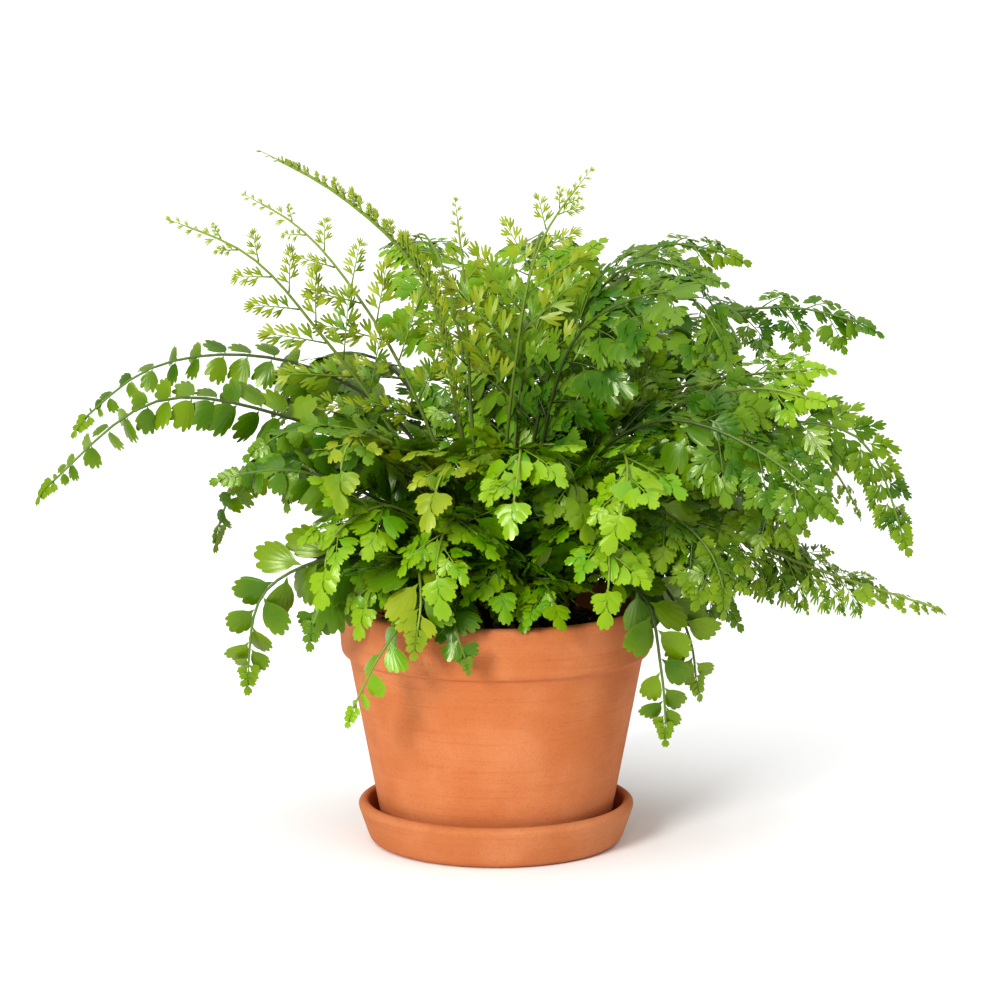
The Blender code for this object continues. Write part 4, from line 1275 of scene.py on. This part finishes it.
class FrondDresser:
    """Turns a frond's plan into its stem and finely cut leaflets."""

    STEM_SIDES = 7
    RIB_SIDES = 4
    SMALLEST_DIVIDED = 15.0 * MM
    LONGEST_TIP = 24.0 * MM
    FOOT_DEPTH = 6.0 * MM
    CREST_STEP = 4.5 * MM
    TAIL = 15.0 * MM
    STEM_TAPER = 0.58
    LEAF_ROLL = 23.0
    # In millimetres, as the routes are
    FOOT_WIDTH = 2.6
    CREST_FOOT_WIDTH = 3.6
    LOW_TIP = 160
    FRONT_TIP = 20

    def __init__(self, plan: FrondPlan, patterns: Patterns) -> None:
        """Takes the plan and the patterns."""
        self.plan = plan
        self.patterns = patterns
        self.draw = random.Random(7000 + plan.number)
        self.mesh = FoliageMesh()
        full = plan.frond.habit in (Habit.SPRAY, Habit.BROAD)
        self.youth = (0.25 if full else 1.5) if plan.frond.kind is LIME else 1.0

    def dress(self, finishes: dict[str, bpy.types.Material]) -> bpy.types.Object:
        """Builds the frond's stem and blades.

        Args:
            finishes: the materials by name.

        Returns:
            The finished piece.
        """
        frond = self.plan.frond
        self.add_stem()
        _, tip_back, tip_height = frond.route[-1]
        low = tip_height < self.LOW_TIP and tip_back < self.FRONT_TIP
        divide, lower, middle, upper = {
            Habit.SPRAY: (self.add_leaflet, 1, False, 1),
            Habit.ARM: (self.add_ovate, 1, True, 2),
            Habit.OAK: (self.add_oak, 2, True, 2),
            Habit.BROAD: (self.add_broad, 5, False, 0),
            Habit.PINNATE: (self.add_pinnate, 1 if low else 3, False, 1),
            Habit.YOUNG: (self.add_young, 0, False, 2),
            Habit.CREST: (self.add_crest, 1, True, 3),
            Habit.TRAIL: (self.add_trailing, 1, True, 2),
        }[frond.habit]
        for pose in self.plan.poses + self.plan.filler_poses(lower, middle, upper, self.draw):
            divide(pose)
        self.add_tip()
        name = f"fern_frond_{self.plan.number + 1:02d}"
        materials = [finishes[frond.kind.finish.name], finishes[frond.kind.stem.name]]
        obj = self.mesh.build(name, materials)
        finish_object(obj, name, frond.kind.finish.name, f"frond_{self.plan.number + 1:02d}")
        return obj

    def add_stem(self) -> None:
        """The frond's own stem, from its hole in the soil to its tip."""
        stem = self.plan.stem
        path = [stem.path[0] - UP * self.FOOT_DEPTH] + stem.path[::2] + [stem.path[-1]]
        shares = [0.0] + [i / (STEM_SAMPLES - 1) for i in range(0, STEM_SAMPLES, 2)] + [1.0]
        foot = self.CREST_FOOT_WIDTH if self.plan.frond.habit is Habit.CREST else self.FOOT_WIDTH
        radii = [0.5 * foot * (1.0 - self.STEM_TAPER * share) * MM for share in shares]
        self.mesh.tube(path, radii, self.STEM_SIDES, shares)

    def add_rib(self, pose: Pose, end: float, thickness: float) -> None:
        """A side blade's own thin stem."""
        shares = [end * k / 4.0 for k in range(5)]
        path = [pose.at(share) for share in shares]
        radii = [0.5 * thickness * (1.0 - 0.6 * share) for share in shares]
        ages = [min(1.0, 0.50 + 0.4 * pose.share + 0.3 * share) for share in shares]
        self.mesh.tube(path, radii, self.RIB_SIDES, ages)

    def vary(self, axis: Vector, upper: Vector, swing: float, roll: float) -> tuple[Vector, Vector]:
        """An axis and an upper side after a small random turn each way."""
        turned = Matrix.Rotation(math.radians(self.draw.uniform(-swing, swing)), 3, upper) @ axis
        rolled = Matrix.Rotation(math.radians(self.draw.uniform(-roll, roll)), 3, axis) @ upper
        return turned, rolled

    def place(self, name: str, root: Vector, axis: Vector, upper: Vector, hand: int, length: float,
              width: float, age: float, roll: float = LEAF_ROLL) -> None:
        """Copies one variant of a leaflet, a little differently each time."""
        axis, upper = self.vary(axis, upper, 7.0, roll)
        bend = self.draw.uniform(-0.05, 0.32)
        twist = self.draw.uniform(-22.0, 22.0)
        tint = self.draw.random()
        age *= self.youth
        pattern = self.patterns.pick(name, self.draw)
        self.mesh.leaf(pattern, root, axis, upper, hand, length, width, bend, twist, age, tint)

    def place_one(self, name: str, pose: Pose, length: float, width: float, age: float,
                  roll: float = LEAF_ROLL) -> None:
        """Copies one leaflet that stands alone, straight from the stem."""
        self.place(name, pose.root, pose.way(0.4), pose.upper, self.hand_of(pose), length, width, age, roll)

    def hand_of(self, pose: Pose) -> int:
        """1 where the leaflet's side towards the tip is on its left, or -1."""
        return 1 if pose.upper.cross(pose.axis).dot(pose.across) > 0.0 else -1

    def add_leaflet(self, pose: Pose) -> None:
        """One toothed leaflet."""
        name = "obovate" if self.plan.frond.kind is not DEEP else "fan"
        width = 1.0 if self.plan.frond.kind is LIME else 1.15
        self.place_one(name, pose, pose.length * 0.96, width, 0.15 + 0.75 * pose.share)

    def add_ovate(self, pose: Pose) -> None:
        """One small leaflet, toothed on both sides and nearly square to the stem."""
        axis = pose.axis - pose.stem_way * pose.axis.dot(pose.stem_way) * 0.6 - UP * 0.1
        axis += pose.stem_way * self.draw.uniform(-0.1, 0.35)
        name, width = ("oak", 1.0) if self.draw.random() > 0.55 + pose.share else ("ovate", 1.08)
        length = pose.length * (0.86 - 0.24 * pose.share) * self.draw.uniform(0.9, 1.08)
        age = 0.1 + 0.5 * pose.share
        self.place(name, pose.root, axis, pose.upper, self.hand_of(pose), length, width, age, 38.0)

    def add_oak(self, pose: Pose) -> None:
        """One deeply lobed leaflet."""
        self.place_one("cut", pose, pose.length * 0.85, 0.8, 0.3 * pose.share, 10.0)

    def add_crest(self, pose: Pose) -> None:
        """A short lobed side stem that stands up from the frond's stem."""
        forward = pose.stem_way * self.draw.uniform(0.1, 0.8)
        lifted = (pose.axis * 0.25 + UP + FRONT * 0.15 + forward).normalized()
        upper = FRONT + UP * 0.3
        upper = (upper - lifted * upper.dot(lifted)).normalized()
        for step in (0.0, self.CREST_STEP):
            length = pose.length * self.draw.uniform(0.34, 0.56)
            root = pose.root + pose.stem_way * step
            stood = Pose(root, lifted, upper.cross(lifted), upper, length, 0.0, pose.share, pose.stem_way)
            self.add_divided(stood, CREST_BLADE)

    def add_divided(self, pose: Pose, blade: Blade) -> None:
        """A side blade's rib and leaflets.

        Args:
            pose: how the blade is held.
            blade: how it is divided.
        """
        self.add_rib(pose, blade.last + 0.06, blade.rib)
        hand = self.hand_of(pose)
        for i in range(blade.pairs):
            for side, shift in ((1, 0.0), (-1, 0.5)):
                at = blade.first + (blade.last - blade.first) * (i + shift) / max(blade.pairs - 0.5, 1.0)
                way = pose.way(at)
                swing = math.radians(blade.open_by - 22.0 * at + self.draw.uniform(-6.0, 6.0))
                axis = way * math.cos(swing) + pose.across * side * math.sin(swing) - pose.upper * 0.12
                length = pose.length * blade.size * (1.0 - 0.36 * at) * self.draw.uniform(0.9, 1.08)
                age = min(1.0, 0.05 + 0.65 * pose.share + 0.30 * at)
                self.place(blade.leaflet, pose.at(at), axis, pose.upper, hand * side, length,
                           blade.width, age)
        age = min(1.0, 0.30 + 0.7 * pose.share)
        length = pose.length * blade.end_size
        self.place(blade.end, pose.at(blade.last), pose.way(0.9), pose.upper, hand, length, 1.0, age)

    def add_broad(self, pose: Pose) -> None:
        """A side blade of a few wide, overlapping leaflets and a lobed end."""
        if pose.length < self.SMALLEST_DIVIDED:
            self.place_one("oak", pose, pose.length, 1.0, 0.2 + 0.7 * pose.share)
        else:
            name = self.draw.choice(("round", "mitten", "oak"))
            self.add_divided(pose, replace(BROAD_BLADE, leaflet=name))

    def add_pinnate(self, pose: Pose) -> None:
        """A side blade of several smaller fans and a lobed end."""
        if pose.length < self.SMALLEST_DIVIDED:
            self.place_one("mitten", pose, pose.length, 1.0, 0.2 + 0.7 * pose.share)
        else:
            name = self.draw.choice(("cut", "cut", "fan"))
            self.add_divided(pose, replace(PINNATE_BLADE, leaflet=name))

    def add_young(self, pose: Pose) -> None:
        """A thin side stem with small fingered lobes."""
        length = pose.length * (1.05 - 0.55 * max(pose.share, 0.0) ** 2)
        slim = replace(pose, length=length)
        if length < self.SMALLEST_DIVIDED * 0.55:
            self.place_one("finger", slim, length * 0.8, 1.0, 0.9)
        else:
            pairs = 4 if length > self.SMALLEST_DIVIDED * 1.3 else 3
            self.add_divided(slim, replace(YOUNG_BLADE, pairs=pairs, size=1.75 / (pairs + 1)))

    def add_trailing(self, pose: Pose) -> None:
        """A small lobed leaflet, or a divided one near the foot of the blade."""
        if pose.length < self.SMALLEST_DIVIDED * 1.3:
            self.place_one("tip", pose, pose.length * 0.8, 1.2, 0.3 + 0.6 * pose.share)
        else:
            self.add_divided(pose, TRAIL_BLADE)

    def add_tip(self) -> None:
        """The lobed end of the frond, or the small buds that a young one ends in."""
        frond = self.plan.frond
        point, way, side, normal = self.plan.stem.frame(TIP_AT)
        if frond.habit in (Habit.YOUNG, Habit.CREST):
            tail = Pose(point, way, side, normal, self.TAIL, 0.0, 1.0, way)
            self.add_divided(tail, TAIL_BLADE)
            return
        longest = self.LONGEST_TIP if frond.habit is Habit.BROAD else self.LONGEST_TIP * 0.75
        length = min(max(frond.leaf * TIP_SHARE * MM, LEAST_LEAF) * 1.3, longest)
        if frond.habit is Habit.TRAIL:
            length = LEAST_LEAF * 1.2
        name = "oak" if frond.habit is Habit.BROAD else "tip"
        self.place(name, point, way, normal, 1, length, 1.0, 1.0, 6.0)


class Fern:
    """All the fronds, grown together so that each keeps clear of the rest."""

    FINISHES = (LEAF_LIME, LEAF_FRESH, LEAF_TRAILING, LEAF_GREEN, LEAF_DEEP)

    def __init__(self, nodes: dict[str, bpy.types.Object]) -> None:
        """Takes the CAD nodes, whose clay the leaves keep clear of."""
        self.nodes = nodes

    def solid_tree(self, name: str) -> BVHTree:
        """A tree of one CAD node's faces."""
        mesh = self.nodes[name].data
        return BVHTree.FromPolygons([v.co for v in mesh.vertices], [tuple(p.vertices) for p in mesh.polygons])

    def build(self, effects: Effects) -> list[bpy.types.Object]:
        """Grows and dresses every frond.

        Args:
            effects: the shared node groups.

        Returns:
            The pieces, in the fronds' order.
        """
        finishes = {finish.name: finish.build(effects) for finish in self.FINISHES}
        finishes |= {finish.name: finish.build() for finish in (STEM_DARK, STEM_GREEN)}
        clump = Clump()
        holes = clump.holes(FRONDS)
        paths = clump.parted([clump.path(hole, frond) for hole, frond in zip(holes, FRONDS)])
        plans = [FrondPlan(f, frond, path) for f, (frond, path) in enumerate(zip(FRONDS, paths))]
        clay = [self.solid_tree(name) for name in ("saucer", "pot", "soil")]
        thicket = Thicket([Thicket.stem_solid(plan.stem, plan.stations()) for plan in plans], clay)
        patterns = Patterns()
        pieces = []
        for plan in plans:
            plan.grow(thicket)
            piece = FrondDresser(plan, patterns).dress(finishes)
            log.info("%s: %d faces", piece.name, len(piece.data.polygons))
            pieces.append(piece)
        return pieces


# ---------------------------------------------------------------- pot, saucer and soil


@dataclass(frozen=True)
class Turned:
    """A clay piece turned on a wheel: rings of radius and height, from its underside round."""

    name: str
    node: str
    finish: ClayFinish
    rings: tuple[tuple[float, float], ...]
    segments: int = 96

    def build(self, effects: Effects) -> bpy.types.Object:
        """Draws the piece up from a disc, ring by ring.

        Args:
            effects: the shared node groups.

        Returns:
            The finished piece.
        """
        deselect_all()
        radius, height = self.rings[0]
        bpy.ops.mesh.primitive_circle_add(vertices=self.segments, radius=radius * MM, fill_type="NGON",
                                          location=(0.0, 0.0, height * MM))
        obj = bpy.context.object
        bpy.ops.object.transform_apply(location=True, rotation=True, scale=True)
        bpy.ops.object.mode_set(mode="EDIT")
        bpy.ops.mesh.select_all(action="SELECT")
        for next_radius, next_height in self.rings[1:]:
            rise = (next_height - height) * MM
            bpy.ops.mesh.extrude_region_move(TRANSFORM_OT_translate={"value": (0.0, 0.0, rise)})
            scale = next_radius / radius
            bpy.ops.transform.resize(value=(scale, scale, 1.0), center_override=(0.0, 0.0, next_height * MM))
            radius = next_radius
            height = next_height
        bpy.ops.mesh.select_all(action="SELECT")
        bpy.ops.mesh.normals_make_consistent(inside=False)
        bpy.ops.object.mode_set(mode="OBJECT")
        smooth = obj.modifiers.new("rounded", "SUBSURF")
        smooth.levels = 1
        smooth.render_levels = 1
        bpy.ops.object.modifier_apply(modifier="rounded")
        bpy.ops.object.shade_smooth()
        obj.data.materials.append(self.finish.build(effects))
        finish_object(obj, self.name, self.finish.name, self.node)
        return obj


SAUCER = Turned(
    "clay_saucer", "saucer", SAUCER_CLAY,
    (
        (59.0, 0.0), (60.2, 0.0), (62.0, 0.35), (63.7, 1.3), (64.9, 2.8), (65.6, 4.6), (67.4, 9.5),
        (69.0, 14.4), (70.0, 17.0), (70.45, 18.6), (70.4, 19.6), (69.9, 20.6), (69.0, 21.4), (67.8, 21.95),
        (66.6, 21.9), (65.6, 21.3), (65.0, 20.3), (64.6, 18.8), (63.6, 14.5), (62.3, 9.5), (61.6, 7.4),
        (60.7, 6.0), (59.4, 5.2), (57.6, 5.0), (40.0, 5.0), (8.0, 5.0),
    ),
)

# The pot is filled up to its last ring, under the compost, and has no drain hole: only its outside and
# rim are meant to be seen. Known fault: smoothing rounds that ring up, so clay shows beside the compost.
POT = Turned(
    "clay_pot", "pot", POT_CLAY,
    (
        (55.0, 5.3), (56.3, 5.35), (57.2, 5.9), (57.8, 7.2), (58.4, 9.5), (62.6, 32.0), (66.9, 54.5),
        (71.2, 77.0), (74.6, 95.0), (75.05, 96.6), (75.9, 97.3), (77.0, 97.7), (77.9, 98.3), (78.6, 99.6),
        (79.0, 101.4), (79.5, 110.0), (79.95, 120.6), (79.9, 122.0), (79.3, 123.1), (78.3, 123.8),
        (77.0, 124.0), (75.8, 123.95), (74.8, 123.5), (74.2, 122.6), (73.5, 120.0), (70.0, 104.0),
    ),
)


@dataclass(frozen=True)
class Soil:
    """Compost inside the rim: a rough crust with crumbs and pale grit lying on it."""

    radius: float = 71.2 * MM
    edge: float = 109.6 * MM
    middle: float = 111.6 * MM
    depth: float = 9.0 * MM
    insets: int = 20
    crumbs: int = 620
    flecks: int = 46

    def height(self, x: float, y: float) -> float:
        """The crust's height without its roughness."""
        share = min(1.0, math.hypot(x, y) / self.radius)
        return self.middle + (self.edge - self.middle) * share * share

    def build(self) -> bpy.types.Object:
        """Makes the crust from a disc and strews it with crumbs.

        Returns:
            The finished piece.
        """
        deselect_all()
        bpy.ops.mesh.primitive_cylinder_add(vertices=72, radius=self.radius, depth=self.depth,
                                            end_fill_type="NGON",
                                            location=(0.0, 0.0, self.edge - self.depth / 2.0))
        crust = bpy.context.object
        bpy.ops.object.transform_apply(location=True, rotation=True, scale=True)
        bpy.ops.object.mode_set(mode="EDIT")
        bpy.ops.mesh.select_all(action="DESELECT")
        bpy.ops.object.mode_set(mode="OBJECT")
        for face in crust.data.polygons:
            face.select = face.normal.z > 0.9
        bpy.ops.object.mode_set(mode="EDIT")
        for _ in range(self.insets):
            bpy.ops.mesh.inset(thickness=self.radius / (self.insets + 1), depth=0.0)
        bpy.ops.object.mode_set(mode="OBJECT")
        draw = np.random.default_rng(12)
        for vertex in crust.data.vertices:
            reach = math.hypot(vertex.co.x, vertex.co.y)
            if vertex.co.z > self.edge - 1.0 * MM:
                vertex.co.z = self.height(vertex.co.x, vertex.co.y)
                if reach < self.radius * 0.98:
                    vertex.co.x += draw.uniform(-0.8, 0.8) * MM
                    vertex.co.y += draw.uniform(-0.8, 0.8) * MM
                    vertex.co.z += draw.uniform(-0.9, 0.9) * MM
        tint = crust.data.attributes.new("tint", "FLOAT", "POINT")
        tint.data.foreach_set("value", np.full(len(crust.data.vertices), 0.3, dtype=np.float32))
        pieces = [crust] + self.strew(draw)
        deselect_all()
        for piece in pieces:
            piece.select_set(True)
        bpy.context.view_layer.objects.active = crust
        bpy.ops.object.join()
        crust.data.materials.append(SOIL.build())
        finish_object(crust, "compost", "soil", "soil")
        return crust

    def strew(self, draw: np.random.Generator) -> list[bpy.types.Object]:
        """Crumbs and grit, all copies of one small rough ball, as one object.

        Args:
            draw: the random source.

        Returns:
            The one object, in a list.
        """
        deselect_all()
        bpy.ops.mesh.primitive_ico_sphere_add(subdivisions=1, radius=1.0)
        ball = bpy.context.object
        corners = np.array([vertex.co for vertex in ball.data.vertices])
        faces = np.array([face.vertices for face in ball.data.polygons])
        bpy.data.objects.remove(ball)
        points = []
        rings = []
        tints = []
        for i in range(self.crumbs + self.flecks):
            reach = self.radius * 0.97 * math.sqrt(draw.uniform(0.0, 1.0))
            turn = draw.uniform(0.0, 2.0 * math.pi)
            x = reach * math.cos(turn)
            y = reach * math.sin(turn)
            fleck = i >= self.crumbs
            size = draw.uniform(0.5, 1.0) * MM if fleck else draw.uniform(0.7, 2.3) * MM
            stretch = draw.uniform(0.6, 1.2, 3) * size
            rough = corners * stretch * draw.uniform(0.8, 1.2, (len(corners), 1))
            points.append(rough + (x, y, self.height(x, y) + 0.3 * size))
            rings.append(faces + i * len(corners))
            tints += [1.0 if fleck else draw.uniform(0.0, 0.85)] * len(corners)
        mesh = bpy.data.meshes.new("crumbs")
        mesh.from_pydata(np.concatenate(points).tolist(), [], np.concatenate(rings).tolist())
        tint = mesh.attributes.new("tint", "FLOAT", "POINT")
        tint.data.foreach_set("value", np.array(tints, dtype=np.float32))
        obj = bpy.data.objects.new("crumbs", mesh)
        bpy.context.scene.collection.objects.link(obj)
        return [obj]


# ---------------------------------------------------------------- studio


@dataclass(frozen=True)
class Studio:
    """A plain pale floor, soft light all round and the camera."""

    camera_place: tuple[float, float, float] = (0.002, -1.8, 0.459)
    camera_aim: tuple[float, float, float] = (0.002, 0.0, 0.1755)
    lens: float = 129.6
    floor_size: float = 90.0
    sky: float = 0.42

    def build(self) -> None:
        """Sets up the floor, the lights and the camera."""
        self.add_floor()
        self.add_lights()
        self.add_camera()
        bpy.context.scene.view_settings.view_transform = "Standard"
        bpy.context.scene.view_settings.look = "Medium High Contrast"

    def add_floor(self) -> None:
        """One very wide pale sheet."""
        deselect_all()
        bpy.ops.mesh.primitive_plane_add(size=self.floor_size, location=(0.0, 0.0, 0.0))
        floor = bpy.context.object
        floor.name = "floor"
        material, _, shader = principled("floor_paper")
        shader.inputs["Base Color"].default_value = (0.97, 0.97, 0.97, 1.0)
        shader.inputs["Roughness"].default_value = 0.9
        shader.inputs["Specular IOR Level"].default_value = 0.1
        floor.data.materials.append(material)

    def add_lights(self) -> None:
        """An even sky, a broad key light from the upper left and a weak fill from the right."""
        world = bpy.data.worlds.new("studio")
        bpy.context.scene.world = world
        world.use_nodes = True
        back = world.node_tree.nodes["Background"]
        back.inputs["Color"].default_value = (1.0, 1.0, 1.0, 1.0)
        back.inputs["Strength"].default_value = self.sky
        for name, strength, angle, way in (
            ("key", 2.2, 18.0, (0.48, 0.84, -0.45)),
            ("top", 1.45, 80.0, (0.05, 0.10, -1.0)),
            ("fill", 0.34, 80.0, (-0.75, 0.60, -0.50)),
        ):
            lamp = bpy.data.lights.new(name, "SUN")
            lamp.energy = strength
            lamp.angle = math.radians(angle)
            obj = bpy.data.objects.new(name, lamp)
            obj.rotation_euler = Vector(way).to_track_quat("-Z", "Y").to_euler()
            bpy.context.scene.collection.objects.link(obj)

    def add_camera(self) -> None:
        """The camera, level with the leaves and looking slightly down."""
        lens = bpy.data.cameras.new("camera")
        lens.lens = self.lens
        lens.sensor_width = 36.0
        lens.clip_end = 200.0
        camera = bpy.data.objects.new("camera", lens)
        camera.location = self.camera_place
        way = Vector(self.camera_aim) - Vector(self.camera_place)
        camera.rotation_euler = way.to_track_quat("-Z", "Y").to_euler()
        bpy.context.scene.collection.objects.link(camera)
        bpy.context.scene.camera = camera


def main() -> None:
    """Builds the looks of the potted fern."""
    logging.basicConfig(level=logging.INFO, format="%(message)s")
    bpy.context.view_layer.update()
    Studio().build()
    effects = Effects()
    pieces = [SAUCER.build(effects), POT.build(effects), Soil().build()]
    pieces += Fern(frame["nodes"]).build(effects)
    faces = sum(len(piece.data.loops) - 2 * len(piece.data.polygons) for piece in pieces)
    log.info("%d pieces, %d triangles", len(pieces), faces)


if __name__ == "__main__":
    main()
